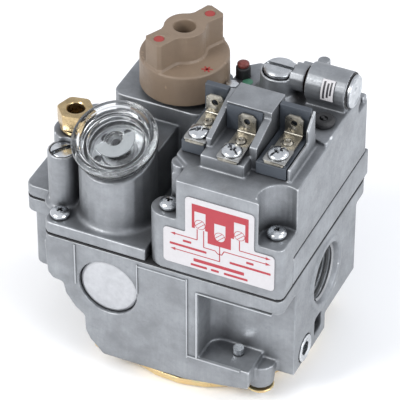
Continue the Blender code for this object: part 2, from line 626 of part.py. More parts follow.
# ---------------------------------------------------------------- terminals
def terminal_bases(look, parent):
    """The dark insulators, one under each outer terminal."""
    base = DECK + GAP
    for side, (x0, y0, x1, y1) in {"left": (40.2, 14.6, 48.3, 35.2), "right": (66.6, 14.0, 77.1, 35.2)}.items():
        solid = box(x0, y0, base, x1, y1, BAY_FLOOR)
        x, screw_y, _, _ = TERMINALS["1" if side == "left" else "3"]
        back = box(x0 + 0.01, y1 - 2.2, BAY_FLOOR - 1.0, x1 - 0.01, y1 - 0.01, BLOCK_TOP)
        build_up(solid, [back], [rod((x, screw_y), 2.1, 30.0, 60.0, steps=TINY)])
        finish(solid, "terminal_base_" + side, look["plastic"], parent)


def terminals(look, parent):
    for number, (x, screw_y, rivet_y, tab_y) in TERMINALS.items():
        low = BAY_FLOOR + GAP
        plate = box(x - 3.4, screw_y - 4.2, low, x + 3.4, tab_y + 0.4, low + 0.8)
        upright = prism([
            (x - 3.17, low + 0.4), (x + 3.17, low + 0.4), (x + 3.17, low + 6.8), (x + 1.9, low + 8.0),
            (x - 1.9, low + 8.0), (x - 3.17, low + 6.8),
        ], tab_y - 0.4, tab_y + 0.39, "Y")
        cuts = [
            rod((x, screw_y), 2.1, 30, 60, steps=TINY),
            rod((x, low + 5.2), 1.1, tab_y - 3, tab_y + 3, "Y", 10),
        ]
        finish(build_up(plate, [upright], cuts), "terminal_tab_" + number, look["nickel"], parent)
        top = low + 0.8 + GAP
        screw = turned([(0, 36.0), (1.8, 36.0), (1.8, top), (3.4, top), (3.4, top + 1.4), (2.7, top + 2.3),
                        (0, top + 2.3)], (x, screw_y), steps=SMALL)
        slot = box(x - 4, screw_y - 0.45, top + 1.3, x + 4, screw_y + 0.45, top + 5)
        finish(build_up(screw, [], [slot]), "terminal_screw_" + number, look["zinc"], parent)
        rivet = turned([(0, top - 0.1), (1.9, top - 0.1), (1.5, top + 0.7), (0, top + 0.7)], (x, rivet_y), steps=TINY)
        finish(rivet, "terminal_rivet_" + number, look["nickel"], parent)


# ---------------------------------------------------------------- screws and labels
def pan_screw(name, x, y, seat, length, look, parent):
    head = seat + GAP
    profile = [(0, seat - length), (1.8, seat - length), (1.8, head), (3.35, head), (3.35, head + 1.0),
               (2.5, head + 2.2), (0, head + 2.2)]
    solid = turned(profile, (x, y), steps=SMALL)
    slot = box(x - 2.0, y - 0.45, head + 1.2, x + 2.0, y + 0.45, head + 5.0)
    return finish(build_up(solid, [], [slot]), name, look["zinc"], parent)


def bottom_screw(name, x, y, look, parent):
    plate = BODY_BOTTOM - 2.1
    profile = [(0, -38.6), (1.8, -38.6), (1.8, plate - GAP), (3.3, plate - GAP), (3.0, plate - GAP - 1.4),
               (0, plate - GAP - 1.4)]
    return finish(turned(profile, (x, y), steps=SMALL), name, look["zinc"], parent)


def fasteners(look, parent):
    for number, (x, y, seat) in HEAD_SCREWS.items():
        pan_screw("head_screw_" + number, x, y, seat, 26.0, look, parent)
    for number, (x, y) in COVER_SCREWS.items():
        pan_screw("cover_screw_" + number, x, y, COVER_TOP, 11.0, look, parent)
    for number, (x, y) in BOTTOM_SCREWS.items():
        bottom_screw("bottom_screw_" + number, x, y, look, parent)


def labels(look, parent):
    outline = rounded([
        (40.6, 4.2, 1.2), (79.8, 4.2, 1.2), (79.8, 18.4, 1.2), (72.6, 18.4, 0), (72.6, 33.2, 1.2), (48.4, 33.2, 1.2),
        (48.4, 18.4, 0), (40.6, 18.4, 1.2),
    ])
    finish(prism(outline, -0.5, -0.3, "Y"), "wiring_label", look["label"], parent)
    inner = arc(COIL, COIL_RADIUS + 0.25, 126, 190, 6)
    outer = arc(COIL, COIL_RADIUS + 0.45, 190, 126, 6)
    finish(prism(inner + outer, 73.2, 77.2, "X"), "coil_label", look["label"], parent)


def main():
    clear_scene()
    look = finishes()
    valve = bpy.data.objects.new("valve", None)
    bpy.context.scene.collection.objects.link(valve)
    valve.location = Vector((-42.0, -36.5, -REST_Z)) * MM
    main_body(look, valve)
    body_gasket(look, valve)
    top_cover(look, valve)
    head_gasket(look, valve)
    operator_head(look, valve)
    bottom_cover(look, valve)
    main_valve(look, valve)
    inlet_screen(look, valve)
    front_plug(look, valve)
    pressure_tap_plug(look, valve)
    pocket_stud(look, valve)
    tube_fitting(look, valve)
    pilot_adjuster(look, valve)
    reset_group(look, valve)
    knob(look, valve)
    regulator(look, valve)
    operator(look, valve)
    terminal_bases(look, valve)
    terminals(look, valve)
    fasteners(look, valve)
    labels(look, valve)


if __name__ == "__main__":
    main()
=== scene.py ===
"""Looks for a half-inch combination gas valve with a millivolt operator.

Every size below is in millimetres in the casting's own coordinates: X runs along the front
flange to the outlet face, Y runs back from the front face, and Z is height above the seam.
"""

import math

import bmesh
import bpy
from bpy.props import FloatProperty, FloatVectorProperty, IntProperty, PointerProperty
from mathutils import Matrix, Vector


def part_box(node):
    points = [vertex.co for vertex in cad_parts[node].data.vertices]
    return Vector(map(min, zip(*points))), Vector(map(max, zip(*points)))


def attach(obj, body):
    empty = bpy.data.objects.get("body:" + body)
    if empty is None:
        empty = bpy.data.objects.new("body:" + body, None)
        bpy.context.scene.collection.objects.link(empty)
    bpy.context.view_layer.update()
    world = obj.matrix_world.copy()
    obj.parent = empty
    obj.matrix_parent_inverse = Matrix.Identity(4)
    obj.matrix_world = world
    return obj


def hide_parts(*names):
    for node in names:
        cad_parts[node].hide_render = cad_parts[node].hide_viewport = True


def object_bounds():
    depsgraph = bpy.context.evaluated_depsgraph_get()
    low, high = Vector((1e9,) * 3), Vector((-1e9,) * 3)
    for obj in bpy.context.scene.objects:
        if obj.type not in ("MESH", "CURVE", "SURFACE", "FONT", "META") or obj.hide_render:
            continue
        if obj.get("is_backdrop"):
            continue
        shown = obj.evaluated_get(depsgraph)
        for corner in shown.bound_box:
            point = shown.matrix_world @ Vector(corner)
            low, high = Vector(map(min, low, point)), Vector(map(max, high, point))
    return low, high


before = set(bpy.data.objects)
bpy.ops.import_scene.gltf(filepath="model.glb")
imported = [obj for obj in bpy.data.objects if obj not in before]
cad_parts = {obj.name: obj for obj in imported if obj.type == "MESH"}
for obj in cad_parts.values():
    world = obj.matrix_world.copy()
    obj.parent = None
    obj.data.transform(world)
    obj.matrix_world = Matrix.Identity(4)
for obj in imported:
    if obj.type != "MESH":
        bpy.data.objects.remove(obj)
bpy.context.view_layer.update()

bl_info = {
    "name": "Combination Gas Valve",
    "version": (1, 0, 0),
    "blender": (4, 5, 0),
    "location": "3D View > Sidebar > Gas Valve",
    "description": "Builds the castings, controls, terminals, fasteners and finishes of a combination "
                   "gas valve",
    "category": "Object",
}

MM = 0.001

# ---------------------------------------------------------------- datum and shared dimensions, mm
OUTLET_FACE = 82.5
head_low, head_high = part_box("operator_head")
seam_low, seam_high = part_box("body_gasket")
DATUM = Vector((head_high.x - OUTLET_FACE * MM, head_low.y, (seam_low.z + seam_high.z) / 2))
TO_FRAME = Matrix.Translation(DATUM) @ Matrix.Scale(MM, 4)

PORT = (37.6, -16.0)
TOWER = (16.4, 16.4)
TOWER_RADIUS = 13.1
TOWER_TOP = 30.8
TILT = math.radians(24.0)
COCK = (23.7, 53.0)
KNOB_BASE = 36.0
KNOB_DISC = 47.5
KNOB_TOP = 58.0
KNOB_RADIUS = 15.2
LEVER_ANGLE = math.radians(65.0)
PILOT = (-2.4, 13.5)
TUBE = (-2.5, 24.0)
DECK = 38.2
REGULATOR = (56.0, 58.0)
COIL = (58.3, 45.5)
COIL_RADIUS = 6.5
BAY_FLOOR = 43.0
BLOCK_TOP = 53.0
POST = (41.8, 60.2)
DECK_SCREW = (41.8, 51.4)
GROMMET = (76.9, 45.6)
FRONT_PLUG = (19.6, -16.2)
TAP_PLUG = (21.3, -36.6)
NUT_BASE = 27.8
MARK_STAR = (34.6, 46.9)
PAINT_DAB = (44.6, 57.6)
LEVER_DOTS = (-11.0, 11.0)
LEVER_TICKS = (0.0, 0.85)
TERMINALS = ((45.0, 18.0, 25.2, 30.6), (58.6, 13.4, 20.4, 25.6), (72.6, 18.2, 26.0, 31.2))
HEAD_SCREWS = ((40.0, 5.6, 22.0, 50), (77.2, 7.4, 21.0, 15))
COVER_SCREWS = ((0.2, 5.0, 5.0, 20), (-11.5, 61.0, 5.0, 75), (30.0, 70.1, 5.0, 130), (-11.5, 30.5, 5.0, 40))
SCREW_LIFT = 0.3
BOTTOM_SCREWS = ((15.0, 8.6, 30), (70.9, 10.7, 80), (13.5, 63.0, 10), (72.0, 63.0, 120))


# ---------------------------------------------------------------- outlines and profiles
def arc(centre, radius, start, end, steps):
    """Points on an arc, angles in degrees."""
    points = []
    for index in range(steps + 1):
        angle = math.radians(start + (end - start) * index / steps)
        points.append((centre[0] + radius * math.cos(angle), centre[1] + radius * math.sin(angle)))
    return points


def eased(corners, closed=True, steps=4):
    """A line through corners (a, b, radius), with each corner turned into an arc."""
    line = []
    count = len(corners)
    for index, (a, b, radius) in enumerate(corners):
        here = Vector((a, b))
        if radius <= 0 or (not closed and index in (0, count - 1)):
            line.append((a, b))
            continue
        before = (Vector(corners[index - 1][:2]) - here).normalized()
        after = (Vector(corners[(index + 1) % count][:2]) - here).normalized()
        half = before.angle(after) / 2
        middle = here + (before + after).normalized() * (radius / math.sin(half))
        first = here + before * (radius / math.tan(half)) - middle
        last = here + after * (radius / math.tan(half)) - middle
        turn = first.angle_signed(last)
        for step in range(steps + 1):
            line.append(tuple(middle + Matrix.Rotation(-turn * step / steps, 2) @ first))
    return line


def rectangle(x0, y0, x1, y1, radius=0.0, steps=4):
    return eased([(x0, y0, radius), (x1, y0, radius), (x1, y1, radius), (x0, y1, radius)], steps=steps)


def hexagon(centre, across_flats, spin=0.0):
    return arc(centre, across_flats / math.sqrt(3), spin, spin + 360, 6)[:-1]


# ---------------------------------------------------------------- solids
AXES = {
    "Z": lambda a, b, h: (a, b, h),
    "Y": lambda a, b, h: (a, h, b),
    "X": lambda a, b, h: (h, a, b),
}


def new_object(name, mesh):
    made = bpy.data.objects.new(name, mesh)
    bpy.context.scene.collection.objects.link(made)
    return made


def from_bmesh(name, work):
    """Makes an object from a bmesh drawn in millimetres, placed in the frame."""
    bmesh.ops.recalc_face_normals(work, faces=work.faces)
    work.transform(TO_FRAME)
    mesh = bpy.data.meshes.new(name)
    work.to_mesh(mesh)
    work.free()
    return new_object(name, mesh)


def soften_edges(work, width, rings, angle=25.0):
    sharp = [edge
             for edge in work.edges if edge.is_manifold and edge.calc_face_angle(0) > math.radians(angle)]
    bmesh.ops.bevel(work, geom=sharp, offset=width, segments=rings, profile=0.6, affect="EDGES",
                    clamp_overlap=True, loop_slide=True)


def prism(outline, low, high, axis="Z", edge=0.0, rings=2, turn=None):
    """A closed outline pushed along an axis, with its edges eased."""
    place = AXES[axis]
    work = bmesh.new()
    bottom = [work.verts.new(place(a, b, low)) for a, b in outline]
    top = [work.verts.new(place(a, b, high)) for a, b in outline]
    count = len(outline)
    work.faces.new(bottom)
    work.faces.new(top)
    for index in range(count):
        after = (index + 1) % count
        work.faces.new((bottom[index], bottom[after], top[after], top[index]))
    bmesh.ops.recalc_face_normals(work, faces=work.faces)
    if edge > 0:
        soften_edges(work, edge, rings)
    if turn is not None:
        work.transform(turn)
    return from_bmesh("blank", work)


def block(x0, y0, z0, x1, y1, z1, edge=0.0, turn=None):
    return prism(rectangle(x0, y0, x1, y1), z0, z1, edge=edge, turn=turn)


def turned(profile, centre=(0, 0), axis="Z", steps=64, turn=None):
    """A solid of revolution. The profile holds (radius, height); a radius of 0 closes it with a pole."""
    place = AXES[axis]
    work = bmesh.new()
    rings = []
    for radius, height in profile:
        if radius <= 1e-6:
            rings.append([work.verts.new(place(centre[0], centre[1], height))])
        else:
            ring = arc(centre, radius, 4.0, 364.0, steps)[:-1]
            rings.append([work.verts.new(place(a, b, height)) for a, b in ring])
    pairs = list(zip(rings, rings[1:]))
    if len(rings[0]) > 1 and len(rings[-1]) > 1:
        pairs.append((rings[-1], rings[0]))
    for lower, upper in pairs:
        for index in range(steps):
            after = (index + 1) % steps
            if len(lower) == 1 and len(upper) == 1:
                continue
            if len(lower) == 1:
                work.faces.new((lower[0], upper[after], upper[index]))
            elif len(upper) == 1:
                work.faces.new((lower[index], lower[after], upper[0]))
            else:
                work.faces.new((lower[index], lower[after], upper[after], upper[index]))
    if turn is not None:
        work.transform(turn)
    return from_bmesh("blank", work)


def lathe(corners, centre=(0, 0), axis="Z", steps=64, turn=None, arc_steps=4):
    """A solid of revolution whose profile holds (radius, height, radius of the eased corner)."""
    return turned(eased(corners, closed=False, steps=arc_steps), centre, axis, steps, turn)


def rod(centre, radius, low, high, axis="Z", steps=64, edge=0.0, turn=None):
    profile = [(0, low, 0), (radius, low, edge), (radius, high, edge), (0, high, 0)]
    return lathe(profile, centre, axis, steps, turn)


def bake(solid):
    """Makes the modifiers of a piece permanent."""
    state = bpy.context.evaluated_depsgraph_get()
    mesh = bpy.data.meshes.new_from_object(solid.evaluated_get(state))
    solid.modifiers.clear()
    solid.data = mesh
    return solid


def combine(base, other, operation):
    change = base.modifiers.new("shape", "BOOLEAN")
    change.operation = operation
    change.solver = "EXACT"
    change.object = other
    bake(base)
    bpy.data.objects.remove(other, do_unlink=True)
    return base


def build_up(first, adds=(), cuts=()):
    for solid in adds:
        combine(first, solid, "UNION")
    for solid in cuts:
        combine(first, solid, "DIFFERENCE")
    return first


def gather(solids):
    """Several closed solids as one mesh, left as separate shells."""
    work = bmesh.new()
    for solid in solids:
        work.from_mesh(solid.data)
        bpy.data.objects.remove(solid, do_unlink=True)
    mesh = bpy.data.meshes.new("gathered")
    work.to_mesh(mesh)
    work.free()
    return new_object("blank", mesh)


def copy_of(node):
    """A merged copy of a CAD node, which is loose triangles."""
    work = bmesh.new()
    work.from_mesh(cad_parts[node].data)
    bmesh.ops.remove_doubles(work, verts=work.verts, dist=1e-6)
    bmesh.ops.recalc_face_normals(work, faces=work.faces)
    mesh = bpy.data.meshes.new(node)
    work.to_mesh(mesh)
    work.free()
    return new_object("blank", mesh)


def blend_cast(solid, voxel, passes, limit=180000):
    """Turns sharp joined shells into one casting with eased edges and filled corners."""
    remesh = solid.modifiers.new("cast", "REMESH")
    remesh.mode = "VOXEL"
    remesh.voxel_size = voxel * MM
    relax = solid.modifiers.new("relax", "SMOOTH")
    relax.factor = 0.5
    relax.iterations = passes
    bake(solid)
    triangles = sum(len(face.vertices) - 2 for face in solid.data.polygons)
    if triangles > limit:
        thin = solid.modifiers.new("thin", "DECIMATE")
        thin.ratio = limit / triangles
        bake(solid)
    return solid


def tilted():
    """Places a shape drawn round Z on the reset button's slanted axis."""
    return Matrix.Translation((*TOWER, TOWER_TOP)) @ Matrix.Rotation(TILT, 4, "X")


def settle(solid, name, finish, body, nodes=(), angle=32.0):
    """Names a finished piece, gives it its finish and hands it to the body it moves with."""
    solid.name = name
    solid.data.name = name
    solid.data.materials.clear()
    solid.data.materials.append(finish)
    solid.data.shade_smooth()
    if angle:
        solid.data.set_sharp_from_angle(angle=math.radians(angle))
    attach(solid, body)
    if nodes:
        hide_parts(*nodes)
    return solid


def housed(solid, name, look, nodes=(), angle=32.0):
    """Settles a piece that stays with the housing."""
    return settle(solid, name, LOOK[look], "housing", nodes, angle)


# ---------------------------------------------------------------- Geometry Nodes
class Tree:
    """A Geometry Nodes tree with named inputs, used once on a piece and then made permanent."""

    def __init__(self, name, **inputs):
        self.tree = bpy.data.node_groups.new(name, "GeometryNodeTree")
        face = self.tree.interface
        face.new_socket("Geometry", in_out="INPUT", socket_type="NodeSocketGeometry")
        face.new_socket("Geometry", in_out="OUTPUT", socket_type="NodeSocketGeometry")
        self.values = {}
        for label, value in inputs.items():
            kind = "Float"
            if isinstance(value, bpy.types.Object):
                kind = "Object"
            elif isinstance(value, int):
                kind = "Int"
            title = label.replace("_", " ")
            socket = face.new_socket(title, in_out="INPUT", socket_type="NodeSocket" + kind)
            self.values[socket.identifier] = value
        self.source = self.add("NodeGroupInput")

    def add(self, kind, **settings):
        node = self.tree.nodes.new(kind)
        for key, value in settings.items():
            setattr(node, key, value)
        return node

    def join(self, source, target):
        self.tree.links.new(source, target)

    def given(self, label):
        return self.source.outputs[label]

    def finish(self, geometry, finish):
        real = self.add("GeometryNodeRealizeInstances")
        painted = self.add("GeometryNodeSetMaterial")
        painted.inputs["Material"].default_value = finish
        self.join(geometry, real.inputs["Geometry"])
        self.join(real.outputs["Geometry"], painted.inputs["Geometry"])
        self.join(painted.outputs["Geometry"], self.add("NodeGroupOutput").inputs["Geometry"])

    def run(self, holder):
        """Sets the named inputs by identifier, evaluates the tree and keeps a plain mesh."""
        change = holder.modifiers.new("made", "NODES")
        change.node_group = self.tree
        for identifier, value in self.values.items():
            change[identifier] = value
        return bake(holder)


def scatter(name, pattern, spots, finish, size=1.0):
    """Copies of one pattern part at each spot (x, y, z, turn in degrees), in millimetres."""
    pattern.data.transform(Matrix.Translation(-DATUM))
    mesh = bpy.data.meshes.new(name)
    mesh.from_pydata([DATUM + Vector(spot[:3]) * MM for spot in spots], [], [])
    turns = mesh.attributes.new("turn", "FLOAT", "POINT")
    turns.data.foreach_set("value", [math.radians(spot[3]) for spot in spots])
    make = Tree(name + "_nodes", Part=pattern, Size=float(size))
    stored = make.add("GeometryNodeInputNamedAttribute", data_type="FLOAT")
    stored.inputs["Name"].default_value = "turn"
    spin = make.add("ShaderNodeCombineXYZ")
    make.join(stored.outputs["Attribute"], spin.inputs["Z"])
    part = make.add("GeometryNodeObjectInfo")
    make.join(make.given("Part"), part.inputs["Object"])
    copies = make.add("GeometryNodeInstanceOnPoints")
    make.join(make.given("Geometry"), copies.inputs["Points"])
    make.join(part.outputs["Geometry"], copies.inputs["Instance"])
    make.join(spin.outputs["Vector"], copies.inputs["Rotation"])
    make.join(make.given("Size"), copies.inputs["Scale"])
    make.finish(copies.outputs["Instances"], finish)
    holder = make.run(new_object(name, mesh))
    bpy.data.objects.remove(pattern, do_unlink=True)
    return holder


def helix(name, radius, wire, length, turns, sides, finish, place, steps=32):
    """A wound wire or thread of round turns; place is a matrix in millimetres."""
    make = Tree(name + "_nodes", Radius=radius * MM, Wire=wire * MM, Length=length * MM, Turns=float(turns),
                Sides=int(sides))
    path = make.add("GeometryNodeCurveSpiral")
    path.inputs["Resolution"].default_value = steps
    for socket, label in (("Start Radius", "Radius"), ("End Radius", "Radius"), ("Height", "Length"),
                          ("Rotations", "Turns")):
        make.join(make.given(label), path.inputs[socket])
    section = make.add("GeometryNodeCurvePrimitiveCircle")
    make.join(make.given("Sides"), section.inputs["Resolution"])
    make.join(make.given("Wire"), section.inputs["Radius"])
    sweep = make.add("GeometryNodeCurveToMesh")
    sweep.inputs["Fill Caps"].default_value = True
    make.join(path.outputs["Curve"], sweep.inputs["Curve"])
    make.join(section.outputs["Curve"], sweep.inputs["Profile Curve"])
    make.finish(sweep.outputs["Mesh"], finish)
    wound = make.run(new_object(name, bpy.data.meshes.new(name)))
    wound.data.transform(TO_FRAME @ place @ Matrix.Scale(1 / MM, 4))
    return wound


# ---------------------------------------------------------------- finishes
class Recipe:
    """Mixes one procedural finish from noise, ramps and a Principled shader."""

    def __init__(self, name):
        self.material = bpy.data.materials.new(name)
        self.material.use_nodes = True
        self.tree = self.material.node_tree
        self.shader = self.tree.nodes["Principled BSDF"]
        self.place = self.tree.nodes.new("ShaderNodeTexCoord").outputs["Object"]

    def add(self, kind, **settings):
        node = self.tree.nodes.new(kind)
        for key, value in settings.items():
            setattr(node, key, value)
        return node

    def join(self, source, target):
        self.tree.links.new(source, target)

    def stretch(self, scale, turn=(0, 0, 0)):
        node = self.add("ShaderNodeMapping")
        node.inputs["Scale"].default_value = scale
        node.inputs["Rotation"].default_value = turn
        self.join(self.place, node.inputs["Vector"])
        return node.outputs["Vector"]

    def noise(self, size, detail=3.0, rough=0.55, place=None, warp=0.0):
        """Noise whose blotches are about size millimetres across."""
        node = self.add("ShaderNodeTexNoise")
        node.inputs["Scale"].default_value = 1.0 / (size * MM)
        node.inputs["Detail"].default_value = detail
        node.inputs["Roughness"].default_value = rough
        node.inputs["Distortion"].default_value = warp
        self.join(place or self.place, node.inputs["Vector"])
        return node.outputs["Fac"]

    def cells(self, size, place=None):
        node = self.add("ShaderNodeTexVoronoi")
        node.inputs["Scale"].default_value = 1.0 / (size * MM)
        self.join(place or self.place, node.inputs["Vector"])
        return node.outputs["Distance"]

    def level(self, value, low, high, to_low=0.0, to_high=1.0):
        node = self.add("ShaderNodeMapRange")
        node.inputs["From Min"].default_value = low
        node.inputs["From Max"].default_value = high
        node.inputs["To Min"].default_value = to_low
        node.inputs["To Max"].default_value = to_high
        self.join(value, node.inputs["Value"])
        return node.outputs["Result"]

    def mix(self, amount, first, second, blend="MIX"):
        node = self.add("ShaderNodeMix", data_type="RGBA", blend_type=blend)
        for value, socket in ((amount, node.inputs[0]), (first, node.inputs[6]), (second, node.inputs[7])):
            if isinstance(value, bpy.types.NodeSocket):
                self.join(value, socket)
            else:
                socket.default_value = value if isinstance(value, float) else (*value[:3], 1.0)
        return node.outputs[2]

    def painted_shade_mask(self, reach, low=0.35, high=0.85):
        """Ambient occlusion as a mask for painted shade: 1 well inside corners and holes, and 0 in the open.
        """
        node = self.add("ShaderNodeAmbientOcclusion", samples=8)
        node.inputs["Distance"].default_value = reach * MM
        return self.level(node.outputs["AO"], low, high, 1.0, 0.0)

    def edges(self, low=0.5, high=0.56):
        """1 on outer edges and 0 elsewhere."""
        return self.level(self.add("ShaderNodeNewGeometry").outputs["Pointiness"], low, high)

    def bump(self, height, depth, strength=1.0, below=None):
        """Raises the surface by depth millimetres where height is 1."""
        node = self.add("ShaderNodeBump")
        node.inputs["Distance"].default_value = depth * MM
        node.inputs["Strength"].default_value = strength
        self.join(height, node.inputs["Height"])
        if below is not None:
            self.join(below, node.inputs["Normal"])
        return node.outputs["Normal"]

    def set(self, **values):
        """Sets or joins the shader's sockets: base_color, roughness, metallic, normal and so on."""
        for key, value in values.items():
            socket = self.shader.inputs[key.replace("_", " ").title().replace("Ior", "IOR")]
            if isinstance(value, bpy.types.NodeSocket):
                self.join(value, socket)
            elif isinstance(value, (list, tuple)):
                socket.default_value = (*value[:3], 1.0)
            else:
                socket.default_value = value
        return self.material


def cast_finish(name, colour, wear_and_highlight, painted_shade):
    """Die-cast aluminium: blotchy satin skin, pits, edges made paler as wear and painted highlight, and
    corners darkened with painted shade.
    """
    make = Recipe(name)
    blotches = make.level(make.noise(10.0, 5.0, 0.62), 0.36, 0.66)
    skin = make.mix(blotches, [c * 0.78 for c in colour], [min(1, c * 1.14) for c in colour])
    draw = make.level(make.noise(1.1, 5.0, 0.7, make.stretch((1.0, 1.0, 0.10))), 0.35, 0.75)
    skin = make.mix(make.level(draw, 0.0, 1.0, 0.0, 0.45), skin, [c * 0.80 for c in colour])
    stains = make.level(make.noise(2.6, 6.0, 0.72, warp=0.8), 0.56, 0.74)
    skin = make.mix(make.level(stains, 0.0, 1.0, 0.0, 0.5), skin, [c * 0.66 for c in colour])
    # Paler edges from pointiness: partly wear, partly a painted highlight.
    skin = make.mix(make.edges(0.53, 0.62), skin, wear_and_highlight)
    # Painted shade: ambient occlusion darkens corners, recesses and holes.
    skin = make.mix(make.painted_shade_mask(10.0, 0.22, 0.95), skin, painted_shade)
    grain = make.noise(0.35, 4.0, 0.7)
    pits = make.level(make.cells(1.5), 0.05, 0.16)
    normal = make.bump(grain, 0.05, 0.55)
    normal = make.bump(make.noise(1.8, 3.0, 0.6), 0.10, 0.5, normal)
    normal = make.bump(pits, 0.05, 0.35, normal)
    rough = make.level(make.noise(0.8, 4.0, 0.65), 0.3, 0.7, 0.36, 0.52)
    return make.set(base_color=skin, roughness=rough, metallic=0.72, normal=normal)


def plated_finish(name, colour, dull, rough=0.24, size=1.2, painted_shade=(0.06, 0.06, 0.065), reach=1.6):
    """Plated or plain metal: slight clouding and fine scratches, with painted shade in corners and holes."""
    make = Recipe(name)
    cloud = make.level(make.noise(size * 2, 3.0, 0.6), 0.35, 0.7)
    skin = make.mix(cloud, colour, dull)
    # Painted shade: ambient occlusion darkens corners and holes.
    skin = make.mix(make.painted_shade_mask(reach, 0.25, 0.80), skin, painted_shade)
    scratch = make.noise(0.25, 3.0, 0.6, make.stretch((1.0, 0.12, 1.0), (0, 0, 0.5)))
    normal = make.bump(scratch, 0.02, 0.35)
    normal = make.bump(make.noise(0.5, 2.0, 0.5), 0.02, 0.3, normal)
    return make.set(base_color=skin,
                    roughness=make.level(make.noise(size, 3.0, 0.6), 0.3, 0.7, rough - 0.06, rough + 0.12),
                    metallic=1.0, normal=normal)


def moulded_finish(name, colour, pale, rough=0.45, grain=0.25, depth=0.03, specular=0.45, rub=0.53):
    """Moulded plastic: fine grain, faint flow marks and edges rubbed paler."""
    make = Recipe(name)
    flow = make.level(make.noise(6.0, 4.0, 0.6, warp=0.6), 0.3, 0.75)
    skin = make.mix(flow, colour, [c * 0.88 for c in colour])
    skin = make.mix(make.edges(rub, rub + 0.08), skin, pale)
    normal = make.bump(make.noise(grain, 3.0, 0.6), depth, 0.5)
    make.shader.inputs["Specular IOR Level"].default_value = specular
    return make.set(base_color=skin,
                    roughness=make.level(make.noise(1.0, 3.0), 0.3, 0.7, rough - 0.06, rough + 0.1),
                    normal=normal)


def chromate_finish(name, colour):
    """Yellow chromate plating, with its faint change of tint."""
    make = Recipe(name)
    tint = make.level(make.noise(7.0, 3.0, 0.6, warp=1.0), 0.3, 0.7)
    skin = make.mix(tint, colour, (colour[0] * 1.05, colour[1] * 0.90, colour[2] * 0.80))
    skin = make.mix(make.level(make.noise(3.0, 2.0), 0.55, 0.75), skin,
                    (colour[0] * 0.85, colour[1] * 0.95, colour[2] * 0.95))
    normal = make.bump(make.noise(0.4, 3.0), 0.02, 0.3)
    return make.set(base_color=skin, roughness=make.level(make.noise(1.5), 0.3, 0.7, 0.26, 0.42),
                    metallic=0.9, normal=normal)


def rubber_finish(name, colour, rough=0.75):
    make = Recipe(name)
    skin = make.mix(make.level(make.noise(2.0, 4.0, 0.7), 0.3, 0.75), colour,
                    [c * 1.9 + 0.004 for c in colour])
    return make.set(base_color=skin,
                    roughness=make.level(make.noise(0.6), 0.3, 0.7, rough - 0.1, rough + 0.1),
                    normal=make.bump(make.noise(0.3, 3.0), 0.04, 0.5))


def print_finish(name, colour, rough=0.5):
    """Label film or ink: an even colour with a slight mottle."""
    make = Recipe(name)
    skin = make.mix(make.level(make.noise(1.2, 4.0, 0.7), 0.35, 0.8), colour, [c * 0.93 for c in colour])
    return make.set(base_color=skin,
                    roughness=make.level(make.noise(2.0), 0.3, 0.7, rough - 0.08, rough + 0.08),
                    normal=make.bump(make.noise(0.4, 2.0), 0.01, 0.3))


def clear_finish(name, colour):
    """Clear moulded plastic with faint flow ripples."""
    make = Recipe(name)
    skin = make.mix(make.level(make.noise(4.0, 2.0), 0.3, 0.7), colour, [c * 0.97 for c in colour])
    make.shader.inputs["Transmission Weight"].default_value = 1.0
    make.shader.inputs["IOR"].default_value = 1.46
    return make.set(base_color=skin, roughness=0.06, normal=make.bump(make.noise(2.5, 2.0), 0.04, 0.4))


def turned_face_finish(name, colour, dull, centre):
    """Aluminium faced in a lathe: fine rings round the centre, seen along Y."""
    make = Recipe(name)
    shift = make.add("ShaderNodeMapping")
    shift.inputs["Location"].default_value = [-value for value in centre]
    make.join(make.place, shift.inputs["Vector"])
    rings = make.add("ShaderNodeTexWave", wave_type="RINGS", rings_direction="Y")
    rings.inputs["Scale"].default_value = 420.0
    rings.inputs["Distortion"].default_value = 1.5
    rings.inputs["Detail"].default_value = 2.0
    make.join(shift.outputs["Vector"], rings.inputs["Vector"])
    cloud = make.level(make.noise(4.0, 4.0, 0.65), 0.3, 0.7)
    skin = make.mix(cloud, colour, dull)
    normal = make.bump(rings.outputs["Fac"], 0.015, 0.5)
    normal = make.bump(make.noise(0.6, 3.0), 0.03, 0.4, normal)
    return make.set(base_color=skin, roughness=make.level(make.noise(1.5), 0.3, 0.7, 0.34, 0.5),
                    metallic=0.9, normal=normal)


LOOK = {}


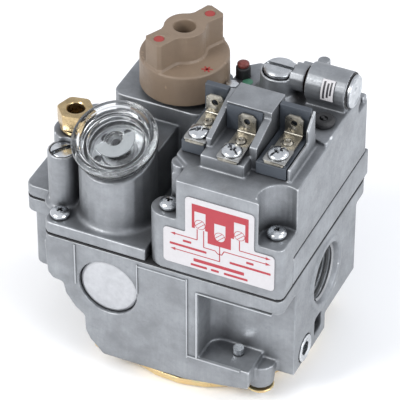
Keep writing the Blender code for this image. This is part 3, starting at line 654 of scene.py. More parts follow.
def mix_finishes(colours):
    # The casting's edges go near white, as wear and painted highlight, and its corners near black, as
    # painted shade.
    LOOK["cast"] = cast_finish("cast_aluminium_skin", colours.casting, (0.80, 0.82, 0.84),
                               (0.075, 0.078, 0.085))
    # A copy of the casting a quarter brighter, with paler edges, that paints a highlight on the parting
    # ridges.
    LOOK["cast_highlit"] = cast_finish("trimmed_casting_edge", [min(1, c * 1.25) for c in colours.casting],
                                    (0.60, 0.62, 0.64), (0.20, 0.21, 0.22))
    # A half-bright copy of the casting that paints the shade inside the ports.
    LOOK["cast_bore_shade"] = cast_finish("unlit_casting_bore", [c * 0.5 for c in colours.casting],
                                    (0.40, 0.41, 0.42), (0.02, 0.02, 0.022))
    LOOK["machined"] = plated_finish("machined_aluminium", (0.62, 0.64, 0.66), (0.48, 0.50, 0.52), 0.30)
    LOOK["turned_face"] = turned_face_finish("turned_aluminium_face", (0.60, 0.61, 0.63),
                                             (0.48, 0.49, 0.51),
                                             DATUM + Vector((FRONT_PLUG[0], 0, FRONT_PLUG[1])) * MM)
    LOOK["zinc"] = plated_finish("bright_zinc", (0.74, 0.76, 0.78), (0.50, 0.52, 0.54), 0.20)
    LOOK["washer"] = plated_finish("dull_zinc", (0.46, 0.46, 0.45), (0.30, 0.30, 0.29), 0.36)
    LOOK["steel"] = plated_finish("plain_steel", (0.62, 0.63, 0.64), (0.48, 0.49, 0.50), 0.30)
    # Painted shade darkens the brass nut's hole and corners.
    LOOK["brass"] = plated_finish("turned_brass", colours.brass, [c * 0.66 for c in colours.brass], 0.26,
                                  painted_shade=(0.035, 0.018, 0.008), reach=5.0)
    LOOK["nickel"] = plated_finish("nickelled_brass", (0.42, 0.40, 0.35), (0.28, 0.26, 0.22), 0.30)
    LOOK["copper"] = plated_finish("coil_copper", (0.62, 0.30, 0.16), (0.45, 0.20, 0.10), 0.35)
    LOOK["chromate"] = chromate_finish("yellow_chromate_plate", colours.chromate)
    LOOK["plastic"] = moulded_finish("dark_grey_moulding", colours.terminal_block, (0.20, 0.22, 0.25), 0.42,
                                     rub=0.60)
    LOOK["knob"] = moulded_finish("tan_moulding", colours.knob, [min(1, c * 1.35) for c in colours.knob],
                                  0.46, 0.3, 0.05)
    LOOK["frosted"] = moulded_finish("frosted_moulding", (0.30, 0.32, 0.33), (0.45, 0.47, 0.49), 0.30, 0.4,
                                     0.02)
    LOOK["clear"] = clear_finish("clear_moulding", (0.97, 0.985, 0.99))
    LOOK["gasket"] = rubber_finish("black_gasket_sheet", (0.010, 0.010, 0.011), 0.8)
    LOOK["rubber"] = rubber_finish("black_rubber_moulding", (0.012, 0.012, 0.013), 0.55)
    LOOK["red_seal"] = rubber_finish("red_brown_sealant", (0.11, 0.022, 0.018), 0.4)
    LOOK["label"] = print_finish("white_label_film", (0.56, 0.545, 0.56), 0.42)
    LOOK["ink"] = print_finish("red_label_ink", colours.ink, 0.40)
    LOOK["dark_ink"] = print_finish("dark_label_ink", (0.03, 0.03, 0.035), 0.45)
    LOOK["paint"] = print_finish("red_paint_fill", (0.30, 0.035, 0.03), 0.42)
    LOOK["green"] = print_finish("green_paint_dab", (0.07, 0.22, 0.14), 0.45)


SLOT_LOOK = {"cast_aluminium": "cast", "gasket_black": "gasket", "zinc_plate": "zinc",
             "bright_aluminium": "machined", "brass": "brass", "yellow_chromate": "chromate",
             "grey_plastic": "plastic", "tan_plastic": "knob", "clear_plastic": "clear",
             "nickel_brass": "nickel", "black_rubber": "rubber", "red_brown_seal": "red_seal",
             "white_label": "label", "steel": "steel", "coil_winding": "copper"}


def finish_cad_nodes():
    """Gives every CAD node the procedural finish of its own slot."""
    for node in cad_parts.values():
        for slot in node.material_slots:
            plain = slot.material.name.split(".")[0] if slot.material else "cast_aluminium"
            slot.material = LOOK[SLOT_LOOK.get(plain, "steel")]


class GASVALVE_OT_finishes(bpy.types.Operator):
    """Mix the finishes and put each one on the CAD nodes that use it"""
    bl_idname = "gasvalve.finishes"
    bl_label = "Finishes"

    def execute(self, context):
        mix_finishes(context.scene.gas_valve_colours)
        finish_cad_nodes()
        return {"FINISHED"}


# ---------------------------------------------------------------- castings
def fillet_ring(centre, radius, height, reach):
    """A collar that fills the corner where a round boss meets a flat."""
    profile = [(0, height - 1), (radius + reach, height - 1), (radius + reach, height)]
    profile += [(radius + reach - reach * math.sin(math.radians(a)),
                 height + reach - reach * math.cos(math.radians(a))) for a in range(15, 91, 15)]
    return turned(profile + [(0, height + reach)], centre, steps=48)


def body_casting(sizes):
    shells = [
        copy_of("main_body"),
        block(5.6, 25.6, -37.4, 41, 49.4, -1.0),
        block(30, 24, -37.2, 60, 52, -0.9),
        rod((43, 37), 27.6, -44.0, -39.0, steps=48),
    ]
    casting = blend_cast(gather(shells), sizes.voxel, sizes.relax)
    mouth = turned([(0, 66.0), (10.2, 66.0), (10.2, 81.9), (10.9, 82.7), (11.1, 84.0), (0, 84.0)], PORT,
                   "X", 72)
    return housed(build_up(casting, [], [mouth]), "body_casting", "cast", ["main_body"],
                  0)


def body_ridges():
    """The raised lines that the die's parting left on the front: upright ones and the lip under the seam. A
    brighter copy of the casting finish paints them highlit.
    """
    lines = [(7.6, 8.1, -18.0, -1.0), (30.5, 30.9, -14.5, -1.6), (48.5, 49.0, -36.0, -1.6),
             (51.9, 52.6, -35.2, -6.4), (31.0, 48.4, -2.7, -2.2), (52.0, OUTLET_FACE - 3.4, -6.7, -6.2),
             (48.8, 68.0, -35.5, -34.9)]
    ridges = [prism(rectangle(x0, -0.42, x1, 0.8), z0, z1, edge=0.14) for x0, x1, z0, z1 in lines]
    return housed(gather(ridges), "body_ridges", "cast_highlit", angle=50)


def cover_casting(sizes):
    shells = [
        copy_of("top_cover"),
        fillet_ring(TOWER, TOWER_RADIUS, 5.0, 2.0),
        fillet_ring(PILOT, 5.2, 5.0, 1.4),
        fillet_ring(TUBE, 7.6, 5.0, 1.6),
    ]
    return housed(blend_cast(gather(shells), sizes.voxel, sizes.relax), "cover_casting", "cast",
                  ["top_cover"], 0)


def head_casting(sizes):
    shells = [
        copy_of("operator_head"),
        fillet_ring(REGULATOR, 6.6, DECK, 2.4),
    ]
    casting = blend_cast(gather(shells), sizes.voxel * 0.85, sizes.relax)
    bore = rod(REGULATOR, 5.0, 26.0, 42.6, steps=48)
    return housed(build_up(casting, [], [bore]), "head_casting", "cast", ["operator_head"],
                  0)


class GASVALVE_OT_castings(bpy.types.Operator):
    """Build the body, cover and operator head castings"""
    bl_idname = "gasvalve.castings"
    bl_label = "Castings"

    def execute(self, context):
        sizes = context.scene.gas_valve_casting
        body_casting(sizes)
        body_ridges()
        cover_casting(sizes)
        head_casting(sizes)
        return {"FINISHED"}


# ---------------------------------------------------------------- bottom cover
def pressed_cover():
    """The yellow bottom cover, drawn from sheet, with eased bends."""
    cover = blend_cast(copy_of("bottom_cover"), 0.3, 4, 120000)
    return housed(cover, "pressed_bottom_cover", "chromate", ["bottom_cover"], 0)


class GASVALVE_OT_bottom_cover(bpy.types.Operator):
    """Build the pressed bottom cover"""
    bl_idname = "gasvalve.bottom_cover"
    bl_label = "Bottom cover"

    def execute(self, context):
        pressed_cover()
        return {"FINISHED"}


# ---------------------------------------------------------------- gas cock knob
HUB_RADIUS = 7.0
ARM_HALF = 3.75
ARM_END = 14.3
ARM_BLEND = 4.0


def lever_outline(grow=0.0):
    """The lever seen from above: a round hub that runs into two arms with cut corners."""
    reach = math.sqrt((HUB_RADIUS + ARM_BLEND) ** 2 - (ARM_HALF + ARM_BLEND) ** 2)
    meet = math.degrees(math.atan2(ARM_HALF + ARM_BLEND, reach))
    quarter = [(ARM_END + grow, 2.9 + grow), (ARM_END - 1.0 + grow, ARM_HALF + 0.25 + grow)]
    quarter += arc((reach, ARM_HALF + ARM_BLEND), ARM_BLEND - grow, 270, 180 + meet, 7)
    quarter += arc((0, 0), HUB_RADIUS + grow, meet, 90, 7)[1:]
    left = [(-x, y) for x, y in reversed(quarter[:-1])]
    half = quarter + left
    return half + [(-x, -y) for x, y in half]


def on_knob():
    """Places a shape drawn along X on the knob, in line with its lever."""
    return Matrix.Translation((*COCK, 0)) @ Matrix.Rotation(LEVER_ANGLE, 4, "Z")


def knob_body():
    skirt = turned([(0, KNOB_DISC - 1.8), (13.2, KNOB_DISC - 1.8), (13.8, KNOB_BASE),
                    (KNOB_RADIUS, KNOB_BASE), (KNOB_RADIUS - 0.1, KNOB_DISC - 0.5),
                    (KNOB_RADIUS - 0.5, KNOB_DISC), (0, KNOB_DISC)], COCK, steps=96)
    lever = prism(lever_outline(), KNOB_DISC - 1.4, KNOB_TOP, turn=on_knob())
    foot = prism(lever_outline(0.35), KNOB_DISC - 1.2, KNOB_DISC + 0.5, turn=on_knob())
    ends = prism([(-ARM_END, -3.4), (ARM_END, -3.4), (ARM_END, 3.4), (-ARM_END, 3.4)], KNOB_BASE + 0.4,
                 KNOB_DISC, turn=on_knob())
    hollow = turned([(0, KNOB_DISC - 1.7), (13.0, KNOB_DISC - 1.7), (13.6, KNOB_BASE - 1),
                     (0, KNOB_BASE - 1)], COCK)
    post = rod(COCK, 5.2, KNOB_BASE + 1.2, KNOB_DISC)
    socket = rod(COCK, 3.4, 30.0, 47.0)
    bore = turned([(0, 49.8), (3.5, 50.4), (3.7, KNOB_TOP - 0.5), (4.2, KNOB_TOP + 0.2), (4.2, 70), (0, 70)],
                  COCK)
    dots = [rod((spot, 0), 1.95, KNOB_TOP - 0.45, 60, turn=on_knob(), steps=40) for spot in LEVER_DOTS]
    ticks = [prism(rectangle(-8.35 + shift, -1.7, -7.95 + shift, 1.0), KNOB_TOP - 0.3, 60, turn=on_knob())
             for shift in LEVER_TICKS]
    body = build_up(skirt, [lever, foot, ends], [hollow])
    build_up(body, [post], [socket, bore, *dots, *ticks])
    blend_cast(body, 0.2, 3, 110000)
    return settle(body, "knob_moulding", LOOK["knob"], "gas_cock", ["gas_cock_knob"], 0)


def knob_paint():
    """The red fill in the lever's two dots, its two ticks and the star on the disc."""
    fills = []
    for spot in LEVER_DOTS:
        profile = [(0, KNOB_TOP - 0.6), (1.75, KNOB_TOP - 0.6), (1.75, KNOB_TOP - 0.32),
                   (1.2, KNOB_TOP - 0.22), (0, KNOB_TOP - 0.15)]
        fills.append(turned(profile, (spot, 0), steps=32, turn=on_knob()))
    for shift in LEVER_TICKS:
        fills.append(prism(rectangle(-8.28 + shift, -1.6, -8.02 + shift, 0.9), KNOB_TOP - 0.5,
                           KNOB_TOP - 0.24, turn=on_knob()))
    star = Matrix.Translation((*MARK_STAR, 0))
    for angle, reach in ((20, 1.9), (75, 1.5), (140, 1.7)):
        bar = star @ Matrix.Rotation(math.radians(angle), 4, "Z")
        fills.append(prism(rectangle(-reach, -0.3, reach, 0.3, 0.2), KNOB_DISC - 0.2, KNOB_DISC + 0.07,
                           turn=bar))
    return settle(gather(fills), "knob_marks", LOOK["paint"], "gas_cock")


class GASVALVE_OT_knob(bpy.types.Operator):
    """Build the gas cock knob and its painted marks"""
    bl_idname = "gasvalve.knob"
    bl_label = "Gas cock knob"

    def execute(self, context):
        knob_body()
        knob_paint()
        return {"FINISHED"}


# ---------------------------------------------------------------- reset button
BRIM = 3.9


def button_cap():
    """The clear mushroom cap: a brim, a dished top, a skirt and an inner barrel."""
    profile = eased([(0, BRIM - 0.6, 0), (2.5, BRIM - 0.6, 0.2), (2.5, -0.9, 0.2), (3.5, -0.9, 0.3),
                     (3.7, BRIM - 0.5, 0.4), (9.7, BRIM - 0.5, 0.5), (9.9, -0.3, 0.3), (11.4, -0.3, 0.3),
                     (11.5, BRIM, 0.3), (14.55, BRIM + 0.1, 0.6), (14.55, BRIM + 2.0, 0.9),
                     (13.2, BRIM + 3.0, 0.5), (12.4, BRIM + 2.9, 0.3), (11.8, BRIM + 1.4, 0.6),
                     (0, BRIM + 1.2, 0)], closed=False, steps=5)
    cap = turned(profile, steps=112, turn=tilted())
    outer = arc((0, 0), 6.9, -138, 42, 28)
    inner = arc((0, 0), 2.9, 42, -138, 16)
    half_moon = prism(outer + inner, BRIM + 1.22, BRIM + 2.15, edge=0.16, rings=2, turn=tilted())
    settle(half_moon, "reset_half_moon", LOOK["frosted"], "reset", angle=40)
    return settle(cap, "reset_cap", LOOK["clear"], "reset", ["reset_button"], 40)


def button_inside():
    """The steel stem with its threaded tip, and the stamped retainer under the cap."""
    tip = lathe([(0, -36.2, 0), (1.9, -36.2, 0.2), (1.9, BRIM - 2.2, 0.2), (1.3, BRIM - 2.0, 0.2),
                 (1.1, BRIM - 1.0, 0.2), (0, BRIM - 0.9, 0)], steps=32, turn=tilted())
    settle(tip, "reset_stem_pin", LOOK["steel"], "reset", ["reset_stem"])
    retainer = lathe([(4.4, -5.8, 0), (11.2, -5.8, 0.2), (11.2, -4.2, 0.3), (10.3, -4.0, 0.3),
                      (9.8, -5.1, 0.3), (6.6, -5.2, 0.3), (6.0, -4.2, 0.3), (4.4, -4.2, 0)], steps=72,
                     turn=tilted())
    holes = [rod((8.1 * math.cos(a), 8.1 * math.sin(a)), 1.5, -8, 0, steps=24, turn=tilted())
             for a in map(math.radians, (95, 150, 215, 330))]
    housed(build_up(retainer, [], holes), "reset_retainer", "steel")
    spring = helix("reset_spring_wire", 4.9, 0.4, 14.3, 7.0, 8, LOOK["steel"],
                   tilted() @ Matrix.Translation((0, 0, -15.2)))
    housed(spring, "reset_spring_wire", "steel", ["reset_spring"])


class GASVALVE_OT_button(bpy.types.Operator):
    """Build the clear reset button with the stem and retainer seen through it"""
    bl_idname = "gasvalve.button"
    bl_label = "Reset button"

    def execute(self, context):
        button_cap()
        button_inside()
        return {"FINISHED"}


# ---------------------------------------------------------------- pilot side and plugs
def brass_nut():
    """The pilot tube nut: a chamfered hexagon over a collar, with a countersunk threaded hole."""
    nut = prism(hexagon(TUBE, 11.1, 12), NUT_BASE + 2.0, NUT_BASE + 8.0)
    barrel = turned([(0, NUT_BASE + 1.9), (5.6, NUT_BASE + 1.9), (6.5, NUT_BASE + 2.4),
                     (6.5, NUT_BASE + 7.55), (6.05, NUT_BASE + 8.0), (0, NUT_BASE + 8.1)], TUBE, steps=72)
    combine(nut, barrel, "INTERSECT")
    collar = lathe([(0, 19, 0), (4.2, 19, 0), (4.2, NUT_BASE, 0), (5.4, NUT_BASE, 0.3),
                    (5.4, NUT_BASE + 1.1, 0.4), (4.6, NUT_BASE + 1.2, 0.3), (4.6, NUT_BASE + 2.6, 0),
                    (0, NUT_BASE + 2.6, 0)], TUBE)
    hole = turned([(0, 10), (3.0, 10), (3.0, NUT_BASE + 7.6), (3.5, NUT_BASE + 8.15), (3.5, 60), (0, 60)],
                  TUBE)
    build_up(nut, [collar], [hole])
    ease = nut.modifiers.new("ease", "BEVEL")
    ease.width = 0.18 * MM
    ease.segments = 2
    ease.limit_method = "ANGLE"
    ease.angle_limit = math.radians(35)
    bake(nut)
    housed(nut, "pilot_nut", "brass", ["tube_nut"], 38)
    thread = helix("pilot_nut_thread", 3.05, 0.30, 3.2, 4.4, 4, LOOK["brass"],
                   Matrix.Translation((*TUBE, NUT_BASE + 0.6)))
    housed(thread, "pilot_nut_thread", "brass")


def pilot_plug():
    plug = lathe([(0, 12, 0), (1.4, 12, 0), (1.4, 21.8, 0), (4.15, 21.8, 0), (4.15, 25.9, 0.35),
                  (0, 26.15, 0)], arc_steps=5, centre=PILOT, steps=56)
    slot = block(-6, -0.95, 23.9, 6, 0.95, 30,
                 turn=Matrix.Translation((*PILOT, 0)) @ Matrix.Rotation(math.radians(55), 4, "Z"))
    settle(build_up(plug, [], [slot]), "pilot_plug", LOOK["zinc"], "pilot_adjuster", ["pilot_adjust_screw"])


def brushed_plug():
    """The big sealing plug on the front, with a turned face."""
    plug = lathe([(0, 3.9, 0), (10.4, 3.9, 0), (10.4, 1.5, 0.35), (9.4, 1.05, 0.4), (5.0, 0.75, 2.0),
                  (0, 0.6, 0)], FRONT_PLUG, "Y", 112)
    return housed(plug, "front_sealing_plug", "turned_face", ["front_plug"])


def tap_plug():
    plug = lathe([(0, 75, 0), (4.9, 75, 0), (4.9, 82.75, 0.3), (4.2, 83.0, 0.3), (3.1, 82.6, 0.3),
                  (0, 82.6, 0)], TAP_PLUG, "X", 64)
    socket = prism(hexagon(TAP_PLUG, 4.8, 10), 79.0, 90.0, "X")
    housed(build_up(plug, [], [socket]), "pressure_tap", "zinc", ["pressure_tap_plug"])


def port_threads():
    """A straight helix in each port, which stands for its pipe thread, in a darker copy of the casting that
    paints the shade in the bore.
    """
    for name, start in (("outlet_thread", 66.4), ("inlet_thread", -16.9)):
        place = Matrix.Translation((start, *PORT)) @ Matrix.Rotation(math.radians(90), 4, "Y")
        thread = helix(name, 10.1 if start > 0 else 9.45, 0.6, 14.9, 8.1, 4, LOOK["cast_bore_shade"], place, 44)
        housed(thread, name, "cast_bore_shade", angle=50)


class GASVALVE_OT_fittings(bpy.types.Operator):
    """Build the pilot nut, the pilot plug, the other plugs and the port threads"""
    bl_idname = "gasvalve.fittings"
    bl_label = "Fittings"

    def execute(self, context):
        brass_nut()
        pilot_plug()
        brushed_plug()
        tap_plug()
        port_threads()
        return {"FINISHED"}


# ---------------------------------------------------------------- fasteners
def pan_pattern(radius, height, shank, slot=0.0, cross=0.0):
    """A domed screw head on its shank, with a cross recess, a slot or both; the head sits on z = 0."""
    dome = [(0, -shank, 0), (1.8, -shank, 0.2), (1.8, 0, 0), (radius * 0.96, 0, 0.15),
            (radius, height * 0.42, 0.5)]
    rise = [(radius * math.cos(math.radians(a)) * 0.98, height * (0.42 + 0.58 * math.sin(math.radians(a))),
             0) for a in (22, 40, 58, 74)]
    head = lathe(dome + rise + [(0, height, 0)], steps=48)
    cuts = []
    if cross:
        for turn in (45, 135):
            work = bmesh.new()
            half = 0.5
            corners = [(-cross, -half, height + 1), (cross, -half, height + 1), (cross, half, height + 1),
                       (-cross, half, height + 1), (-0.5, -half * 0.7, height - 1.5),
                       (0.5, -half * 0.7, height - 1.5), (0.5, half * 0.7, height - 1.5),
                       (-0.5, half * 0.7, height - 1.5)]
            verts = [work.verts.new(corner) for corner in corners]
            for loop in ((0, 1, 2, 3), (7, 6, 5, 4), (0, 4, 5, 1), (1, 5, 6, 2), (2, 6, 7, 3), (3, 7, 4, 0)):
                work.faces.new([verts[index] for index in loop])
            work.transform(Matrix.Rotation(math.radians(turn), 4, "Z"))
            cuts.append(from_bmesh("cross", work))
    if slot:
        cuts.append(block(-radius - 1, -slot, height - 0.95, radius + 1, slot, height + 2))
    return build_up(head, [], cuts)


def square_washer():
    washer = prism(rectangle(-3.9, -3.9, 3.9, 3.9, 0.5), -0.7, -0.02, edge=0.12)
    return build_up(washer, [], [rod((0, 0), 2.0, -3, 3, steps=24)])


def numbered(prefix, count):
    return [f"{prefix}_{number}" for number in range(1, count + 1)]


def fixings(name, pattern, spots, look, nodes=()):
    """Copies of a pattern at each spot, as one finished piece of the housing."""
    return housed(scatter(name, pattern, spots, LOOK[look]), name, look, nodes)


def housing_screws():
    pattern = pan_pattern(3.35, 2.3, 10.0, cross=1.75)
    spots = [(x, y, z + SCREW_LIFT, turn) for x, y, z, turn in COVER_SCREWS]
    fixings("cover_fixings", pattern, spots, "zinc", numbered("cover_screw", 4))
    heads = (("left", 3.3, 2.6, 1.7), ("right", 3.25, 2.5, 1.6))
    for number, ((x, y, z, turn), (side, radius, height, cross)) in enumerate(zip(HEAD_SCREWS, heads), 1):
        pattern = pan_pattern(radius, height, 25.0, cross=cross)
        fixings("head_fixing_" + side, pattern, [(x, y, z + SCREW_LIFT, turn)], "zinc",
                [f"head_screw_{number}"])
    pattern = pan_pattern(3.2, 1.6, 6.0, slot=0.45)
    flip = Matrix.Rotation(math.pi, 4, "X")
    pattern.data.transform(Matrix.Translation(DATUM) @ flip @ Matrix.Translation(-DATUM))
    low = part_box("bottom_screw_1")[0].z / MM - DATUM.z / MM + 1.6
    spots = [(x, y, low, turn) for x, y, turn in BOTTOM_SCREWS]
    fixings("bottom_fixings", pattern, spots, "zinc", numbered("bottom_screw", 4))


def terminal_fixings():
    top = BAY_FLOOR + 1.4
    pattern = pan_pattern(3.5, 1.9, 8.0, slot=0.42, cross=2.3)
    spots = [(x, y, top + 0.25, turn) for (x, y, _, _), turn in zip(TERMINALS, (28, -38, 62))]
    fixings("terminal_fixings", pattern, spots, "zinc", numbered("terminal_screw", 3))
    spots = [(x, y, top + 0.30, 0) for (x, y, _, _) in TERMINALS]
    fixings("terminal_washers", square_washer(), spots, "washer")
    eyelet = lathe([(0, -0.3, 0), (1.95, -0.3, 0), (1.9, 0.25, 0.2), (1.2, 0.75, 0.3), (0.75, 0.55, 0.2),
                    (0.6, 0.1, 0.2), (0, 0.05, 0)], steps=32)
    spots = [(x, y, top - 0.25, 0) for (x, _, y, _) in TERMINALS]
    fixings("terminal_rivets", eyelet, spots, "nickel", numbered("terminal_rivet", 3))


class GASVALVE_OT_fasteners(bpy.types.Operator):
    """Build the screws, washers and rivets"""
    bl_idname = "gasvalve.fasteners"
    bl_label = "Fasteners"

    def execute(self, context):
        housing_screws()
        terminal_fixings()
        return {"FINISHED"}


# ---------------------------------------------------------------- terminals
def terminal_mouldings():
    """The dark mouldings: an insulating base and back wall at each side, and a thin dark plate behind the
    middle terminal.
    """
    for side, x0, x1, y0, y1 in (("left", 41.2, 47.4, 15.4, 32.0), ("right", 67.6, 76.2, 14.8, 32.2)):
        node = "terminal_base_" + side
        lip = block(x0, y0, BAY_FLOOR - 0.2, x1, y0 + 0.9, BAY_FLOOR + 0.28)
        moulding = blend_cast(gather([copy_of(node), lip]), 0.16, 3, 90000)
        housed(moulding, "terminal_moulding_" + side, "plastic", [node], 0)
    # A thin dark plate across the back of the middle bay, behind its terminal.
    back_plate = prism(rectangle(50.85, 26.35, 63.35, 27.1), BAY_FLOOR + 0.1, BLOCK_TOP - 0.6, edge=0.15)
    housed(back_plate, "terminal_liner", "plastic")


def terminal_tabs():
    """Bent blade terminals: a foot under the screw and an upright blade with cut corners and a hole."""
    low = BAY_FLOOR + 0.3
    tabs = []
    for x, screw_y, _, tab_y in TERMINALS:
        foot = prism(rectangle(x - 3.4, screw_y - 4.2, x + 3.4, tab_y + 0.35, 0.5), low, low + 0.8,
                     edge=0.1)
        blade = prism([(x - 3.17, low + 0.3), (x + 3.17, low + 0.3), (x + 3.17, low + 6.7),
                       (x + 1.8, low + 8.0), (x - 1.8, low + 8.0), (x - 3.17, low + 6.7)], tab_y - 0.4,
                      tab_y + 0.39, "Y", edge=0.14)
        bend = rod((tab_y - 0.35, low + 0.75), 0.55, x - 3.15, x + 3.15, "X", 24)
        cuts = [rod((x, screw_y), 2.1, 30, 60, steps=32),
                rod((x, low + 5.2), 1.15, tab_y - 3, tab_y + 3, "Y", 28)]
        dimple = lathe([(0, tab_y - 0.9, 0), (0.9, tab_y - 0.65, 0.2), (1.6, tab_y - 0.35, 0),
                        (0, tab_y - 0.3, 0)], (x, low + 2.4), "Y", 24)
        tabs.append(build_up(foot, [blade, bend, dimple], cuts))
    return housed(gather(tabs), "terminal_blades", "nickel", numbered("terminal_tab", 3),
                  30)


class GASVALVE_OT_terminals(bpy.types.Operator):
    """Build the dark terminal mouldings and the three blade terminals"""
    bl_idname = "gasvalve.terminals"
    bl_label = "Terminals"

    def execute(self, context):
        terminal_mouldings()
        terminal_tabs()
        return {"FINISHED"}


# ---------------------------------------------------------------- operator parts on the head
def regulator_parts():
    x, y = REGULATOR
    cap = lathe([(0, 43.5, 0), (5.45, 43.5, 0.1), (5.45, 47.5, 0.5), (4.6, 48.15, 0.5), (0, 48.3, 0)],
                arc_steps=5, centre=REGULATOR, steps=72)
    slot = block(-8, -0.75, 46.9, 8, 0.75, 60, turn=Matrix.Translation((x, y, 0)))
    housed(build_up(cap, [], [slot]), "regulator_plug", "machined", ["regulator_cap"])
    spring = helix("regulator_spring_wire", 3.6, 0.35, 14.5, 7.0, 8, LOOK["steel"],
                   Matrix.Translation((x, y, 17.9)))
    housed(spring, "regulator_spring_wire", "steel", ["regulator_spring"])


def coil_parts():
    """The coil's bright end disc in its dark ring, the grommet, the sealed post and the deck screw."""
    cap = lathe([(0, 79.5, 0), (5.0, 79.5, 0.2), (5.0, 81.6, 0), (5.65, 81.7, 0.15), (5.65, 82.8, 0.35),
                 (4.9, 83.18, 0.3), (4.3, 82.75, 0.3), (1.6, 82.75, 0.2), (1.2, 83.05, 0.2), (0, 83.1, 0)],
                COIL, "X", 72)
    housed(cap, "coil_end_disc", "machined", ["coil_end_cap"])
    ring = lathe([(5.55, 80.6, 0), (6.35, 80.6, 0.1), (6.35, 81.55, 0.2), (5.55, 81.55, 0)], COIL, "X", 64)
    housed(ring, "coil_seal_ring", "rubber")
    grommet = lathe([(1.4, 36, 0), (2.4, 36, 0), (2.4, 39.9, 0.2), (3.7, 39.9, 0.3), (3.7, 41.3, 0.5),
                     (2.9, 42.0, 0.4), (1.4, 41.7, 0.3)], GROMMET, steps=48)
    housed(grommet, "lead_grommet", "rubber", ["wire_grommet"])
    leads = [rod((GROMMET[0] + dx, GROMMET[1] + dy), 0.62, 36.2, 41.9, steps=16, edge=0.2) for dx,
             dy in ((-0.5, 0.35), (0.5, -0.35))]
    housed(gather(leads), "lead_ends", "rubber")
    post = lathe([(0, 34.4, 0), (1.75, 34.4, 0), (1.75, 42.3, 0.3), (2.1, 42.6, 0.2), (2.1, 43.4, 0.4),
                  (1.2, 43.9, 0.4), (0, 44.0, 0)], POST, steps=40)
    housed(post, "sealant_post", "red_seal", ["sealed_post"])
    collar = lathe([(1.8, 38.0, 0), (2.5, 38.0, 0), (2.5, 41.8, 0.3), (1.8, 42.2, 0.2)], POST, steps=40)
    housed(collar, "sealant_post_collar", "rubber")
    screw = prism(hexagon(DECK_SCREW, 4.0, 20), 39.6, 41.0, edge=0.3)
    shank = rod(DECK_SCREW, 1.7, 34.5, 40.0, steps=32)
    housed(build_up(screw, [shank]), "deck_fixing", "zinc", ["deck_screw"])
    seat = lathe([(1.75, 38.0, 0), (2.45, 38.0, 0), (2.45, 39.3, 0.3), (1.75, 39.5, 0.1)], DECK_SCREW,
                 steps=40)
    housed(seat, "deck_fixing_collar", "rubber")
    dab = turned([(0, 38.05), (1.9, 38.05), (1.75, 38.3), (1.1, 38.42), (0, 38.46)], PAINT_DAB, steps=20)
    housed(dab, "setting_paint", "green")


def pill_label():
    """The curved label on the coil housing, with three dark bars for its print."""
    film_inner = arc(COIL, COIL_RADIUS + 0.22, 128, 192, 14)
    film_outer = arc(COIL, COIL_RADIUS + 0.40, 192, 128, 14)
    film = prism(film_inner + film_outer, 73.0, 77.4, "X", edge=0.06, rings=1)
    housed(film, "coil_film", "label", ["coil_label"])
    bars = []
    for x0, x1, start, stop in ((73.7, 74.4, 134, 186), (75.0, 75.7, 138, 180), (76.1, 76.7, 134, 172)):
        bars.append(prism(arc(COIL, COIL_RADIUS + 0.38, start, stop, 10) + arc(COIL, COIL_RADIUS + 0.44,
                                                                               stop, start, 10), x0, x1,
                          "X"))
    housed(gather(bars), "coil_film_bars", "dark_ink")


class GASVALVE_OT_operator_parts(bpy.types.Operator):
    """Build the regulator plug, the coil's end, the grommet, the posts and the small label"""
    bl_idname = "gasvalve.operator_parts"
    bl_label = "Operator parts"

    def execute(self, context):
        regulator_parts()
        coil_parts()
        pill_label()
        return {"FINISHED"}


# ---------------------------------------------------------------- wiring label
LABEL_FACE = -0.40


def print_flat(outline, lift=0.0):
    """A shape printed on the label: X and Z corners, a hair in front of the film."""
    return prism(outline, LABEL_FACE - 0.035 - lift, LABEL_FACE + 0.01, "Y")


def line(x0, z0, x1, z1, width, lift=0.0):
    run = Vector((x1 - x0, z1 - z0)).normalized()
    side = Vector((-run.y, run.x)) * width / 2
    a, b = Vector((x0, z0)), Vector((x1, z1))
    return print_flat([tuple(a - side), tuple(b - side), tuple(b + side), tuple(a + side)], lift)


def arrow(x, z, way):
    return print_flat([(x, z), (x - way * 1.7, z + 0.62), (x - way * 1.7, z - 0.62)])


def label_film():
    outline = eased([(40.6, 4.2, 1.4), (79.8, 4.2, 1.4), (79.8, 18.4, 1.4), (72.6, 18.4, 0.8),
                     (72.6, 33.2, 1.4), (48.4, 33.2, 1.4), (48.4, 18.4, 0.8), (40.6, 18.4, 1.4)], steps=6)
    film = prism(outline, LABEL_FACE, -0.02, "Y", edge=0.06, rings=1)
    return housed(film, "wiring_film", "label", ["wiring_label"])


